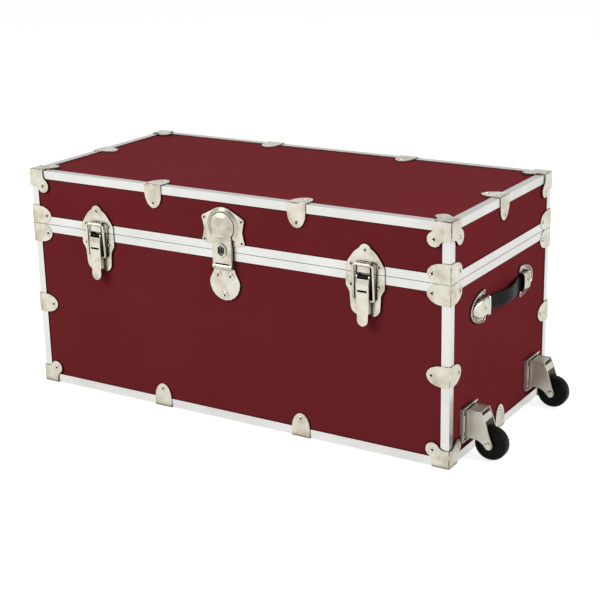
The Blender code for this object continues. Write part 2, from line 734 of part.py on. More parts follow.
# Draw latch: a catch on the lid, a plate with pivot lugs on the base, a thumb lever and a link
def make_latch(side, label):
    at = shifted(FRONT, side * LATCH_X, 0)
    side_view = at @ UPRIGHT
    root = CLAMP_OUT - 2 * GAP

    climb = LOBE_RISE - SHOULDER_RISE
    slope = ((0.44, 1.02), (0.57, 0.87), (0.72, 0.61), (0.87, 0.33), (1.0, 0.0))
    half = arc(0, LOBE_RISE, LOBE_R, 90, 20, 5)
    half = half + [(LATCH_HALF * p, SHOULDER_RISE + climb * q) for p, q in slope]
    half = half + [(LATCH_HALF, SEAM_GAP)]
    keeper = plate(f"latch_catch_{label}", mirrored(half), GAP, CLAMP_OUT, at)
    over_trims(keeper, at, 2 * LATCH_HALF)
    bulge = HUMP_OUT - CLAMP_OUT
    hump = [(root, HUMP_RISE), (root, LUG_R), (HUMP_OUT, LUG_R)]
    hump = hump + arc(CLAMP_OUT, HUMP_RISE - bulge, bulge, 0, 90, 3)
    join(keeper, plate(f"latch_hump_{label}", hump, -CATCH_HALF, CATCH_HALF, side_view))
    finished(keeper, "nickel")

    foot = arc(LATCH_HALF - LATCH_EAR_R, -LATCH_EAR_DROP, LATCH_EAR_R, 0, -50, 3)
    waist = (LATCH_FOOT_HALF + 0.15 * LATCH_EAR_R, -LATCH_EAR_DROP - 1.5 * LATCH_EAR_R)
    toe = (LATCH_FOOT_HALF - LATCH_FOOT_R, LATCH_FOOT_R - LATCH_FOOT_DROP)
    half = [(LATCH_HALF, -SEAM_GAP)] + foot + [waist] + arc(*toe, LATCH_FOOT_R, 0, -80, 4)
    base = plate(f"latch_plate_{label}", mirrored(half), GAP, CLAMP_OUT, at)
    over_trims(base, at, 2 * LATCH_HALF)
    spread = 4 / 3 * LUG_R
    lug = arc(LEVER_N, LEVER_V, LUG_R, 90, -90, 6) + [(root, LEVER_V - spread), (root, LEVER_V + spread)]
    join(base, plate(f"latch_lug_{label}_left", lug, LUG_IN, LUG_OUT, side_view))
    join(base, plate(f"latch_lug_{label}_right", lug, -LUG_OUT, -LUG_IN, side_view))
    pivot = (0, LEVER_V, LEVER_N)
    join(base, rod(f"latch_pin_{label}", pivot, "u", 2 * LEVER_OUT, LATCH_PIN_R, at, 12))
    finished(base, "nickel")

    # Lever: a folded channel, open at the back, with a slot across it and a rounded thumb tab
    front = LEVER_N + LEVER_FRONT
    back = LEVER_N - LEVER_EYE_R
    low = LEVER_V - LEVER_LENGTH
    wide = LEVER_OUT - LAP / 2
    web = [(-wide, LEVER_V - PLATE_T), (-wide, low), (wide, low), (wide, LEVER_V - PLATE_T)]
    lever = plate(f"latch_lever_{label}", web, front - PLATE_T, front, at)
    cheek = arc(LEVER_N, LEVER_V, LEVER_EYE_R, 0, 180, 6) + [
        (back + LAP / 2, LEVER_V - 0.5 * LEVER_LENGTH),
        (back + LEVER_CLEAR, LEVER_V - 0.78 * LEVER_LENGTH),
        (LEVER_N, LEVER_V - 0.94 * LEVER_LENGTH),
        (front - 2 * LAP, LEVER_V - 0.983 * LEVER_LENGTH),
    ]
    join(lever, plate(f"lever_cheek_{label}_left", cheek, LEVER_IN, LEVER_OUT, side_view))
    join(lever, plate(f"lever_cheek_{label}_right", cheek, -LEVER_OUT, -LEVER_IN, side_view))
    tip_v = low - TAB_REACH + TAB_R
    neck = 0.96 * TAB_R
    tab = [(neck, low + 0.7 * TAB_R), (neck, tip_v + 0.35 * TAB_R)] + arc(0, tip_v, TAB_R, 0, -90, 5)
    join(lever, plate(f"lever_tab_{label}", mirrored(tab), front - PLATE_T - 3 * LAP, front - 2 * LAP, at))
    slot_half = LEVER_IN - LEVER_CLEAR
    slot_v = LEVER_V - SLOT_TOP
    slot = ((-slot_half, slot_v - SLOT_HEIGHT, LEVER_N), (slot_half, slot_v, 2 * front))
    cut(lever, box(f"lever_slot_{label}", *slot, at))
    stub_in, stub_out = LEVER_OUT - LEVER_T / 2, LINK_OUT + GAP
    for s in (-1, 1):
        middle = (s * (stub_in + stub_out) / 2, LINK_V, LEVER_N)
        join(lever, rod(f"lever_stub_{label}_{s}", middle, "u", stub_out - stub_in, LINK_PIN_R, at, 12))
    cut(lever, rod(f"lever_bore_{label}", pivot, "u", 4 * LEVER_OUT, LATCH_PIN_R + GAP, at, 12))
    finished(lever, "nickel")

    # Link: two long side plates under a round-cornered bow that stands in front of the catch
    bow_back = HUMP_OUT + LINK_BAR_CLEAR
    bow_front = bow_back + LINK_DEPTH
    outer_u, outer_v = LINK_OUT - LAP / 2 - LINK_CORNER, LINK_TOP - LINK_CORNER
    inner_r = LINK_CORNER - LINK_T
    inner_u, inner_v = LINK_IN + LAP / 2 - inner_r, LINK_TOP - LINK_BAR - inner_r
    half = arc(outer_u, outer_v, LINK_CORNER, 90, 0, 4) + [(LINK_OUT - LAP / 2, LUG_R)]
    half = half + [(LINK_IN + LAP / 2, LUG_R)] + arc(inner_u, inner_v, inner_r, 0, 90, 3)
    bow = half + [(-u, v) for u, v in reversed(half)]
    link = plate(f"latch_link_{label}", bow, bow_back, bow_front, at)
    end_n, end_v = back + LINK_END_R - LEVER_CLEAR / 4, LINK_V + LINK_CLEAR
    top_v, top_r = outer_v - LAP, LINK_END_R / 2
    side = arc(end_n, end_v, LINK_END_R, 180, 360, 8) + [(bow_front + LAP, end_v + 1.6 * LINK_END_R)]
    side = side + arc(bow_front + 2 * LAP - top_r, top_v - top_r, top_r, 0, 90, 3)
    side = side + [(end_n - LINK_END_R / 3, top_v), (end_n - LINK_END_R, top_v - LINK_END_R)]
    join(link, plate(f"link_side_{label}_left", side, LINK_IN, LINK_OUT, side_view))
    join(link, plate(f"link_side_{label}_right", side, -LINK_OUT, -LINK_IN, side_view))
    hole = (0, LINK_V, LEVER_N)
    cut(link, rod(f"link_bore_{label}", hole, "u", 4 * LINK_OUT, LINK_PIN_R + GAP, at, 12))
    finished(link, "nickel")


make_latch(-1, "left")
make_latch(1, "right")


# Hasp lock: the hasp hinges on the base plate, and its round head sits in a cup on the lid plate
def make_lock():
    wide = 2 * FLANGE_EAR_U
    high_v, low_v = HEAD_RISE + FLANGE_HIGH_EAR, HEAD_RISE - FLANGE_LOW_EAR
    waist = FLANGE_EAR_U + FLANGE_EAR_R / 5
    half = arc(0, HEAD_RISE, FLANGE_R, 90, 60, 5)
    half = half + arc(FLANGE_EAR_U, high_v, FLANGE_EAR_R, 63, -40, 5)
    half = half + [(waist, (high_v + low_v) / 2)]
    half = half + arc(FLANGE_EAR_U, low_v, FLANGE_EAR_R, 40, -90, 5)
    half = half + [(0.75 * FLANGE_EAR_U, low_v - 1.2 * FLANGE_EAR_R)]
    catch = plate("lock_catch_plate", mirrored(half), GAP, CLAMP_OUT, FRONT)
    over_trims(catch, FRONT, wide)
    head_at = shifted(FRONT, 0, HEAD_RISE)
    cup_in = HEAD_R + HEAD_CLEAR
    cup_lip = cup_in + CUP_WALL
    cup_foot = CLAMP_OUT - PLATE_T / 2
    section = [(cup_in, cup_foot), (cup_in, CUP_OUT), (cup_lip, CUP_OUT)]
    section = section + [(cup_lip + CUP_SKIRT, CLAMP_OUT - GAP), (cup_lip, cup_foot)]
    cup = turned("lock_cup", section, head_at, 24)
    passage = HASP_HALF + HEAD_CLEAR
    cut(cup, box("lock_cup_passage", (-passage, -wide, -CUP_OUT), (passage, 0, 2 * CUP_OUT), head_at))
    join(catch, baked(cup))
    finished(catch, "nickel")

    # Base plate: an egg-shaped shield with a barrel knuckle and the hasp's pin at its top
    knuckle_half = HASP_HALF - HASP_KNUCKLE - HASP_SIDE
    shoulder_v = HASP_V - HASP_BARREL_R - GAP
    shoulder = (0.68 * SHIELD_HALF, shoulder_v)
    half = [(knuckle_half, HASP_V), (knuckle_half, shoulder_v + LAP), shoulder]
    half = half + bell(shoulder, (SHIELD_HALF, SHIELD_V), 4)
    half = half + [
        (SHIELD_HALF * math.cos(a), SHIELD_V - SHIELD_DROP * math.sin(a))
        for a in (0.0, 0.3, 0.6, 0.9, 1.2, math.pi / 2)
    ]
    face = GAP + SHIELD_T
    base = plate("lock_base_plate", mirrored(half), GAP, face, FRONT)
    axis = (0, HASP_V, HASP_N)
    join(base, rod("lock_knuckle", axis, "u", 2 * knuckle_half, HASP_BARREL_R, FRONT, 16))
    join(base, rod("lock_pin", axis, "u", 2 * HASP_HALF + GAP, HASP_PIN_R, FRONT, 12))
    over_trims(base, FRONT, wide)
    inset = 0.41 * SHIELD_HALF
    for i, (u, v) in enumerate(((-inset, inset), (inset, inset), (0, -0.7 * SHIELD_DROP))):
        place = shifted(FRONT, u, SHIELD_V + v, face)
        ring = [(0.0, -SHIELD_T / 2), (SHIELD_BOSS_R, -SHIELD_T / 2), (SHIELD_BOSS_R, BOSS_RISE / 3)]
        ring = ring + [(SHIELD_BOSS_R - BOSS_RISE, BOSS_RISE), (0.0, BOSS_RISE)]
        join(base, turned(f"lock_boss_{i}", ring, place, 12))
    finished(base, "nickel")

    # Hasp: a deep tongue with a domed round head, split knuckles at its foot and a keyhole collar
    rear = CLAMP_OUT + HASP_LIFT
    front = rear + HASP_DEPTH
    foot_v = HASP_V + HASP_BARREL_R + HEAD_CLEAR
    hasp = box("lock_hasp", (-HASP_HALF, foot_v, rear), (HASP_HALF, HEAD_RISE, front), FRONT, HASP_EDGE)
    step = HEAD_STEP
    dome = [(0.0, rear + LAP), (HEAD_R, rear + LAP), (HEAD_R, HEAD_OUT - 3 * step)]
    dome = dome + [(HEAD_R - step, HEAD_OUT - 2 * step), (DISC_R + step / 2, HEAD_OUT + step)]
    dome = dome + [(DISC_R - step, HEAD_OUT + 1.5 * step), (DISC_R - 2 * step, HEAD_OUT + step)]
    dome = dome + [(DISC_R - 3.5 * step, HEAD_OUT + 1.3 * step), (0.0, HEAD_OUT + 2 * step)]
    join(hasp, turned("lock_head", dome, head_at, 24))
    web_half = HASP_KNUCKLE / 2 - LAP / 2
    web_low, web_high = HASP_N - HASP_PIN_R, HASP_N + 1.6 * HASP_PIN_R
    for s in (-1, 1):
        u = s * (HASP_HALF - HASP_KNUCKLE / 2)
        corner = (u - web_half, HASP_V, web_low)
        opposite = (u + web_half, foot_v + HASP_PIN_R, web_high)
        join(
            hasp,
            rod(f"lock_hasp_knuckle_{s}", (u, *axis[1:]), "u", HASP_KNUCKLE, HASP_BARREL_R, FRONT, 16),
            box(f"lock_hasp_web_{s}", corner, opposite, FRONT),
        )

    def diamond(inset):
        u, v = COLLAR_HALF_U - inset, COLLAR_HALF_V - 1.2 * inset
        return mirrored([(0, v), (u, v / 2), (u, -v / 2), (0, -v)])

    plug_at = shifted(FRONT, 0, PLUG_V)
    collar, floor = front + COLLAR_T, front - COLLAR_SINK
    join(hasp, plate("lock_collar", diamond(0.0), floor, collar, plug_at))
    cut(hasp, plate("lock_collar_sink", diamond(COLLAR_RIM), floor, 2 * collar, plug_at))
    plug_low, plug_top = rear + PLUG_BACK, floor + PLUG_PROUD
    depth = plug_top - plug_low + 2 * GAP
    cut(
        hasp,
        rod("lock_hasp_bore", axis, "u", 4 * HASP_HALF, HASP_PIN_R + GAP, FRONT, 12),
        rod("lock_plug_bore", (0, 0, plug_low - GAP + depth / 2), "n", depth, PLUG_R + GAP, plug_at, 20),
    )
    finished(hasp, "nickel")

    side = [(0.0, plug_low), (PLUG_R, plug_low), (PLUG_R, floor), (PLUG_R - PLUG_PROUD, plug_top)]
    plug = turned("lock_plug", side + [(0.0, plug_top)], plug_at, 20)
    key_half = 0.6 * PLUG_R
    low, high = (-KEYWAY_HALF, -key_half, plug_top - PLUG_BACK), (KEYWAY_HALF, key_half, 2 * plug_top)
    cut(plug, box("lock_keyway", low, high, plug_at))
    finished(plug, "nickel")


make_lock()


# Handles: a bowed leather strap whose ends lie in riveted pockets
def strap_height(u):
    share = min(1.0, max(0.0, 1.0 - abs(u) / BOW_HALF))
    return STRAP_SEAT + STRAP_BOW * (0.5 - 0.5 * math.cos(math.pi * share))


def pocket_ring(u, half, top):
    """A pocket's section across the strap: upright sides and a round-edged top."""
    foot = CAP_OUT - CAP_T / 2
    edge = min(POCKET_EDGE, (top - foot) / 2)
    side = [(half, foot), (half, top - edge), (half - 0.3 * edge, top - 0.3 * edge), (half - edge, top)]
    return [(u, v, n) for v, n in side] + [(u, -v, n) for v, n in reversed(side)]


def make_handle(end_face, label):
    face = shifted(end_face, 0, -HANDLE_DROP)
    across = face @ ACROSS
    stations = [STRAP_END * (i / 12 - 1) for i in range(25)]
    outline = [(u, strap_height(u) + STRAP_T / 2) for u in stations]
    outline = outline + [(u, strap_height(u) - STRAP_T / 2) for u in reversed(stations)]
    finished(plate(f"handle_strap_{label}", outline, -STRAP_HALF_V, STRAP_HALF_V, across), "leather")

    for s, end in ((-1, "front"), (1, "back")):
        # The left end is seen from its own outside, so its front cap lies on the other hand
        hand = s if end_face is RIGHT else -s
        bow = [
            (POCKET_MOUTH + (HANDLE_HALF - POCKET_MOUTH) * math.sin(a), CAP_HALF_V * math.cos(a))
            for a in [math.radians(CAP_SWEEP * i / 12) for i in range(13)]
        ]
        low_u, low_v = bow[-1]
        lobe = arc(low_u - LAP, low_v + CAP_HORN_R, CAP_HORN_R, -95, -215, 5)
        mouth_u, mouth_v = POCKET_MOUTH + LAP, POCKET_HALF_V - LAP
        crescent = bow + lobe + [(mouth_u, -mouth_v), (mouth_u, mouth_v)]
        cap = plate(f"handle_cap_{label}_{end}", [(hand * u, v) for u, v in crescent], GAP, CAP_OUT, face)

        # Pocket: a sleeve over the strap's end, flared at its mouth and domed at its far end
        rings = [
            pocket_ring(POCKET_MOUTH, POCKET_HALF_V + POCKET_FLARE, POCKET_OUT + POCKET_FLARE),
            pocket_ring(POCKET_MOUTH + POCKET_LIP, POCKET_HALF_V, POCKET_OUT),
        ]
        dome_at = CAVITY_FAR + POCKET_WALL
        low_top = CAP_OUT + POCKET_TOE
        for a in [math.radians(angle) for angle in (0, 27, 50, 70, 86)]:
            u = dome_at + (POCKET_FAR - dome_at) * math.sin(a)
            half = POCKET_HALF_V * (0.3 + 0.7 * math.cos(a))
            rings.append(pocket_ring(u, half, low_top + (POCKET_OUT - low_top) * math.cos(a)))
        rings = [[(hand * u, v, n) for u, v, n in ring] for ring in rings]
        join(cap, loft(f"handle_pocket_{label}_{end}", rings, face))
        span = sorted((hand * CAVITY_FAR, hand * (POCKET_MOUTH - CAP_HORN_R)))
        low, high = (span[0], -CAVITY_HALF_V, CAP_OUT), (span[1], CAVITY_HALF_V, POCKET_IN)
        cut(cap, box(f"handle_pocket_inside_{label}_{end}", low, high, face))
        finished(cap, "nickel")


make_handle(RIGHT, "right")
make_handle(LEFT, "left")


# Casters: a railed plate on the end board, and a folded fork that lifts off it
def make_caster(y, label):
    at = shifted(RIGHT, y, -SEAM)
    side_view = at @ UPRIGHT
    slot_in = TRIM_OUT + FORK_SLIDE
    slot_out = slot_in + FORK_PLATE_T
    rail_out = slot_out + FORK_SLIDE + PLATE_T
    rail_top = RAIL_HIGH - RAIL_OPEN
    plate_low = RAIL_LOW + STOP_T + FORK_SLIDE
    receiver = box(f"caster_plate_{label}", (-RAIL_HALF, RAIL_LOW, GAP), (RAIL_HALF, RAIL_HIGH, TRIM_OUT), at)
    for s in (-1, 1):
        wall = sorted((s * RAIL_HALF, s * (RAIL_HALF - RAIL_T)))
        lip = sorted((s * (RAIL_HALF - LAP), s * (FORK_HALF + RAIL_T)))
        wall_low, wall_high = (wall[0], RAIL_LOW + LAP, TRIM_T), (wall[1], rail_top, rail_out)
        lip_low = (lip[0], RAIL_LOW + LIP_RISE, rail_out - PLATE_T)
        lip_high = (lip[1], rail_top - LIP_DROP, rail_out - LAP)
        join(receiver, box(f"caster_rail_{label}_{s}", wall_low, wall_high, at))
        join(receiver, box(f"caster_lip_{label}_{s}", lip_low, lip_high, at))
    wide = RAIL_HALF - 2 * LAP
    stop = ((-wide, RAIL_LOW + 3 * LAP, TRIM_T - LAP), (wide, RAIL_LOW + STOP_T, rail_out - 2 * LAP))
    join(receiver, box(f"caster_stop_{label}", *stop, at))
    finished(receiver, "nickel")

    wide = RAIL_HALF - RAIL_T - RAIL_CLEAR
    fork = box(f"caster_fork_{label}", (-wide, plate_low, slot_in), (wide, RAIL_HIGH, slot_out), at)
    flare = [(slot_in + LAP, RAIL_HIGH - FORK_FLANGE_T), (slot_in + LAP, RAIL_HIGH + LAP)]
    flare = flare + [(FORK_FLANGE_OUT - LAP, RAIL_HIGH + 2 * FORK_FLANGE_T)]
    flare = flare + [(FORK_FLANGE_OUT, RAIL_HIGH + FORK_FLANGE_T), (slot_out, RAIL_HIGH - FORK_FLANGE_T)]
    join(fork, plate(f"caster_flare_{label}", flare, -wide + LAP, wide - LAP, side_view))
    boss = FORK_BOSS_R
    top = Vector((AXLE_N - FORK_TOP_BACK, RAIL_HIGH))
    knee = Vector((AXLE_N - 0.65 * boss, AXLE_V + 1.24 * WHEEL_R))
    cheek_in = slot_out - FORK_SLIDE
    cheek = [(cheek_in, RAIL_HIGH - GAP), tuple(top), tuple(knee)]
    cheek = cheek + arc(AXLE_N, AXLE_V, boss, 20, -120, 8)
    cheek = cheek + [
        (AXLE_N - 1.5 * boss, AXLE_V + 0.27 * boss),
        (AXLE_N - 2.55 * boss, AXLE_V + 0.9 * boss),
        (AXLE_N - 3.75 * boss, AXLE_V + 1.1 * boss),
        (cheek_in, AXLE_V + 1.17 * boss),
    ]
    inside = FORK_HALF - FORK_T
    join(fork, plate(f"caster_cheek_{label}_left", cheek, inside, FORK_HALF, side_view))
    join(fork, plate(f"caster_cheek_{label}_right", cheek, -FORK_HALF, -inside, side_view))
    lap = inside + FORK_T - 4 * LAP
    roof = ((-lap, RAIL_HIGH - FORK_T - GAP, cheek_in), (lap, RAIL_HIGH - 2 * GAP, top.x - FORK_T / 2))
    join(fork, box(f"caster_top_{label}", *roof, at))
    slope = (knee - top).normalized()
    inward = Vector((slope.y, -slope.x))
    first = top + slope * 0.3 * (knee - top).length + inward * GAP
    last = first + slope * STRIP_LENGTH
    strip = [tuple(p) for p in (first, last, last + inward * STRIP_T, first + inward * STRIP_T)]
    join(fork, plate(f"caster_strip_{label}", strip, -lap, lap, side_view))
    hole = (0, AXLE_V, AXLE_N)
    cut(fork, rod(f"caster_fork_bore_{label}", hole, "u", 4 * FORK_HALF, AXLE_R + GAP, at, 16))
    finished(fork, "nickel")

    spin = shifted(at, *hole) @ Matrix.Rotation(math.pi / 2, 4, "Y")
    head = FORK_HALF + GAP
    crown = head + AXLE_HEAD_T
    pin_half = [(0.0, crown), (0.7 * AXLE_HEAD_R, crown), (AXLE_HEAD_R, crown - AXLE_HEAD_T / 2)]
    pin_half = pin_half + [(AXLE_HEAD_R, head), (AXLE_R, head)]
    axle_side = pin_half + [(r, -h) for r, h in reversed(pin_half)]
    finished(turned(f"caster_axle_{label}", axle_side, spin, 12), "nickel")

    bore = AXLE_R + GAP
    hub = inside - HUB_CLEAR
    web = WHEEL_HALF - RIM_DEPTH
    tyre = [(bore, hub), (HUB_R, hub), (HUB_R + RIM_DEPTH / 2, web), (RIM_R - RIM_DEPTH / 2, web)]
    tyre = tyre + [(RIM_R, WHEEL_HALF), (WHEEL_R - TREAD_ROUND, WHEEL_HALF)]
    tyre = tyre + [(WHEEL_R - 0.37 * TREAD_ROUND, WHEEL_HALF - 0.47 * TREAD_ROUND)]
    tyre = tyre + [(WHEEL_R, WHEEL_HALF - 1.3 * TREAD_ROUND)]
    wheel_side = tyre + [(r, -h) for r, h in reversed(tyre)]
    finished(turned(f"caster_wheel_{label}", wheel_side, spin, 24), "wheel")


make_caster(-CASTER_Y, "front")
make_caster(CASTER_Y, "back")


# Lid stay: a slotted arm hung on a stud on the lid's end board, sliding on a stud on the base's
def make_stay():
    back = PY + HINGE_N - STAY_Y
    closed = 2 * math.atan2(STAY_DROP, back)
    opened = closed + math.radians(LID_OPEN)
    far_end = 2 * math.hypot(back, STAY_DROP) * math.sin(opened / 2) + STAY_END_CLEAR
    end_v = STAY_DROP - far_end
    play = 3 * STAY_END_CLEAR
    outline = arc(STAY_Y, STAY_DROP, STAY_HALF, 0, 180, 8) + arc(STAY_Y, end_v - play, STAY_HALF, 180, 360, 8)
    slot = arc(STAY_Y, play - STAY_DROP, STAY_SLOT_R, 0, 180, 6)
    slot = slot + arc(STAY_Y, end_v, STAY_SLOT_R, 180, 360, 6)
    eye = arc(STAY_Y, STAY_DROP, STAY_SLOT_R, 0, 360, 12)[:-1]
    arm = plate("lid_stay_arm", outline, STAY_N - STAY_T, STAY_N, RIGHT, holes=(slot, eye))
    finished(arm, "nickel")
    foot, near, far = -BOARD - GAP, STAY_N + STAY_SIDE, STAY_N - STAY_T - STAY_SIDE
    stud = [(0.0, foot), (STAY_HEAD_R, foot), (STAY_HEAD_R, near), (STAY_PIN_R, near), (STAY_PIN_R, far)]
    stud = stud + [(STAY_HEAD_R, far), (STAY_HEAD_R, far - STAY_HEAD_T), (0.0, far - STAY_HEAD_T)]
    for v, name in ((STAY_DROP, "lid_stay_upper_stud"), (-STAY_DROP, "lid_stay_lower_stud")):
        finished(turned(name, stud, shifted(RIGHT, STAY_Y, v), 12), "nickel")


make_stay()

for template in (clamp_template, corner_template):
    bpy.data.objects.remove(template, do_unlink=True)


# Moving pieces keep their origins on their joints' axes
def on_axis(name, point):
    obj = bpy.data.objects[name]
    offset = Vector(point) * MM
    obj.data.transform(Matrix.Translation(-offset))
    obj.location = offset


lid_heads = ("lid_", "hinge_lid", "latch_catch", "lock_catch")
for obj in list(parts.objects):
    if obj.name.startswith(lid_heads) and obj.name not in ("lid_stay_arm", "lid_stay_lower_stud"):
        on_axis(obj.name, (0, PY + HINGE_N, SEAM))
for sign, label in ((-1, "left"), (1, "right")):
    on_axis(f"latch_lever_{label}", (sign * LATCH_X, -PY - LEVER_N, SEAM + LEVER_V))
    on_axis(f"latch_link_{label}", (sign * LATCH_X, -PY - LEVER_N, SEAM + LINK_V))
    on_axis(f"handle_strap_{label}", (sign * PX, 0, SEAM - HANDLE_DROP))
for sign, label in ((-1, "front"), (1, "back")):
    for piece in ("fork", "axle", "wheel"):
        on_axis(f"caster_{piece}_{label}", (PX + AXLE_N, sign * CASTER_Y, AXLE_V))
on_axis("lock_hasp", (0, -PY - HASP_N, SEAM + HASP_V))
on_axis("lock_plug", (0, -PY - CLAMP_OUT - HASP_LIFT, SEAM + PLUG_V))
on_axis("lid_stay_arm", (PX + STAY_N - STAY_T / 2, STAY_Y, SEAM + STAY_DROP))

# The part's origin is under the middle of everything it reaches
bpy.context.view_layer.update()
graph = bpy.context.evaluated_depsgraph_get()
points = []
for obj in parts.objects:
    shown = obj.evaluated_get(graph)
    points.extend(shown.matrix_world @ vert.co for vert in shown.data.vertices)
reach = [(min(p[i] for p in points), max(p[i] for p in points)) for i in range(3)]
trunk = bpy.data.objects.new("trunk_origin", None)
parts.objects.link(trunk)
trunk.location = (-sum(reach[0]) / 2, -sum(reach[1]) / 2, -reach[2][0])
for obj in list(parts.objects) + list(cutters.objects):
    if obj is not trunk:
        obj.parent = trunk
for obj in parts.objects:
    if obj.type == "MESH":
        obj.data.shade_smooth()
        obj.data.set_sharp_from_angle(angle=math.radians(32))
bpy.context.view_layer.update()
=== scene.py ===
"""Looks of the wheeled storage trunk: coated boards, aluminium trims, nickelled hardware with hollow
rivets, stitched leather straps and hard rubber wheels, on a white studio floor."""

import math

import bmesh
import bpy
from mathutils import Matrix, Vector


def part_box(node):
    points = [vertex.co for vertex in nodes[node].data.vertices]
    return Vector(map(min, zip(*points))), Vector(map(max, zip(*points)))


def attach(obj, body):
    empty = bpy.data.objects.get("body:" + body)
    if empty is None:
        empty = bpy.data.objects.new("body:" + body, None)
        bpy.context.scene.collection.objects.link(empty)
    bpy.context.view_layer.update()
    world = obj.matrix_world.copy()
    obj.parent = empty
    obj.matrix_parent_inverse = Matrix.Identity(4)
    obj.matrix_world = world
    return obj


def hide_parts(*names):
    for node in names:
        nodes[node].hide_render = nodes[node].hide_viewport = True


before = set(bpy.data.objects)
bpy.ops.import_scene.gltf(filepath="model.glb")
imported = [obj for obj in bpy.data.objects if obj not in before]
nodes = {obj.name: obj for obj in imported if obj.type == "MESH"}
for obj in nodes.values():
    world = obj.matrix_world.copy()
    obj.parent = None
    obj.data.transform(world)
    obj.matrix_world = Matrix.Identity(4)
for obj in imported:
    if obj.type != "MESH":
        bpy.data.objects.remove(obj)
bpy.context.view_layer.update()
MM = 0.001


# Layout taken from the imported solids
front_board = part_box("base_front_panel")
back_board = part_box("base_back_panel")
CX = (front_board[0].x + front_board[1].x) / 2
CY = (front_board[0].y + back_board[1].y) / 2
PX = (front_board[1].x - front_board[0].x) / 2
PY = (back_board[1].y - front_board[0].y) / 2
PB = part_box("base_bottom_panel")[0].z
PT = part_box("lid_top_panel")[1].z
hinge_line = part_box("hinge_pin")
SEAM = (hinge_line[0].z + hinge_line[1].z) / 2

# Heights over the boards, in millimetres, at which a finish changes
CLAMP_STEP = 2.0            # trims below, their edge clamps above
BEND = (2.0, 2.9)           # painted dark reflection streaks on the bends round the box's edges fade in between these
PIVOT_STEP = 4.2            # latch plates below; their lugs and pivot pins, painted near-black as shade, above


def face_frame(u, v, n, origin):
    matrix = Matrix((u, v, n)).transposed().to_4x4()
    matrix.translation = Vector(origin)
    return matrix


FRONT = face_frame((1, 0, 0), (0, 0, 1), (0, -1, 0), (CX, CY - PY, SEAM))
BACK = face_frame((-1, 0, 0), (0, 0, 1), (0, 1, 0), (CX, CY + PY, SEAM))
RIGHT = face_frame((0, 1, 0), (0, 0, 1), (1, 0, 0), (CX + PX, CY, SEAM))
LEFT = face_frame((0, -1, 0), (0, 0, 1), (-1, 0, 0), (CX - PX, CY, SEAM))
TOP = face_frame((1, 0, 0), (0, 1, 0), (0, 0, 1), (CX, CY, PT))
UNDER = face_frame((-1, 0, 0), (0, 1, 0), (0, 0, -1), (CX, CY, PB))


# Node helpers: they take and return sockets
COLOUR_A, COLOUR_B, COLOUR_OUT = 6, 7, 2        # colour sockets of a Mix node
FLOAT_A, FLOAT_B = 2, 3                         # its float sockets


def set_inputs(node, inputs):
    for key, value in inputs.items():
        node.inputs[key.replace("_", " ")].default_value = value


def added(tree, kind, settings=None, **inputs):
    """A new node; an underscore stands for a space in an input's name."""
    made = tree.nodes.new(kind)
    for key, value in (settings or {}).items():
        setattr(made, key, value)
    set_inputs(made, inputs)
    return made


def feed(tree, source, socket):
    """Link a socket to its source, or set it where the source is a plain value."""
    if isinstance(source, bpy.types.NodeSocket):
        tree.links.new(source, socket)
    else:
        socket.default_value = source


def new_finish(name, **inputs):
    material = bpy.data.materials.new(name)
    material.use_nodes = True
    tree = material.node_tree
    shader = tree.nodes["Principled BSDF"]
    set_inputs(shader, inputs)
    return material, tree, shader


def rest_coords(tree):
    """Coordinates that stay with a piece when its body moves."""
    return added(tree, "ShaderNodeTexCoord").outputs["Object"]


def parts_of(tree, vector):
    made = added(tree, "ShaderNodeSeparateXYZ")
    feed(tree, vector, made.inputs["Vector"])
    return made.outputs


def noise(tree, vector, scale, detail=3.0, rough=0.55, **inputs):
    made = added(tree, "ShaderNodeTexNoise", Scale=scale, Detail=detail, Roughness=rough, **inputs)
    feed(tree, vector, made.inputs["Vector"])
    return made.outputs["Fac"]


def cells(tree, vector, scale, feature="F1"):
    made = added(tree, "ShaderNodeTexVoronoi", {"feature": feature}, Scale=scale)
    feed(tree, vector, made.inputs["Vector"])
    return made.outputs["Distance"]


def ramp(tree, source, stops):
    made = added(tree, "ShaderNodeValToRGB")
    band = made.color_ramp
    while len(band.elements) < len(stops):
        band.elements.new(0.5)
    for element, (at, colour) in zip(band.elements, stops):
        element.position = at
        element.color = (*colour, 1.0)
    feed(tree, source, made.inputs["Fac"])
    return made.outputs["Color"]


def level(tree, source, **limits):
    """A value brought from one range (0 to 1 if not given) to another."""
    made = added(tree, "ShaderNodeMapRange", **limits)
    feed(tree, source, made.inputs["Value"])
    return made.outputs["Result"]


def bump(tree, shader, height, strength, distance, after=None):
    made = added(tree, "ShaderNodeBump", Strength=strength, Distance=distance)
    feed(tree, height, made.inputs["Height"])
    if after:
        feed(tree, after, made.inputs["Normal"])
    feed(tree, made.outputs["Normal"], shader.inputs["Normal"])
    return made.outputs["Normal"]


def worked(tree, operation, first, second):
    made = added(tree, "ShaderNodeMath", {"operation": operation})
    feed(tree, first, made.inputs[0])
    feed(tree, second, made.inputs[1])
    return made.outputs[0]


def mixed(tree, share, first, second, blend="MIX"):
    """The first colour where share is 0, and the second, or their blend, where it is 1."""
    made = added(tree, "ShaderNodeMix", {"data_type": "RGBA", "blend_type": blend})
    feed(tree, share, made.inputs[0])
    feed(tree, first, made.inputs[COLOUR_A])
    feed(tree, second, made.inputs[COLOUR_B])
    return made.outputs[COLOUR_OUT]


def painted_crevice_shade(tree, colour, reach, stops):
    """The colour with painted shade, darker where a surface is closed in within reach metres."""
    crevice = added(tree, "ShaderNodeAmbientOcclusion", {"samples": 8}, Distance=reach)
    return mixed(tree, 1.0, colour, ramp(tree, crevice.outputs["AO"], stops), "MULTIPLY")


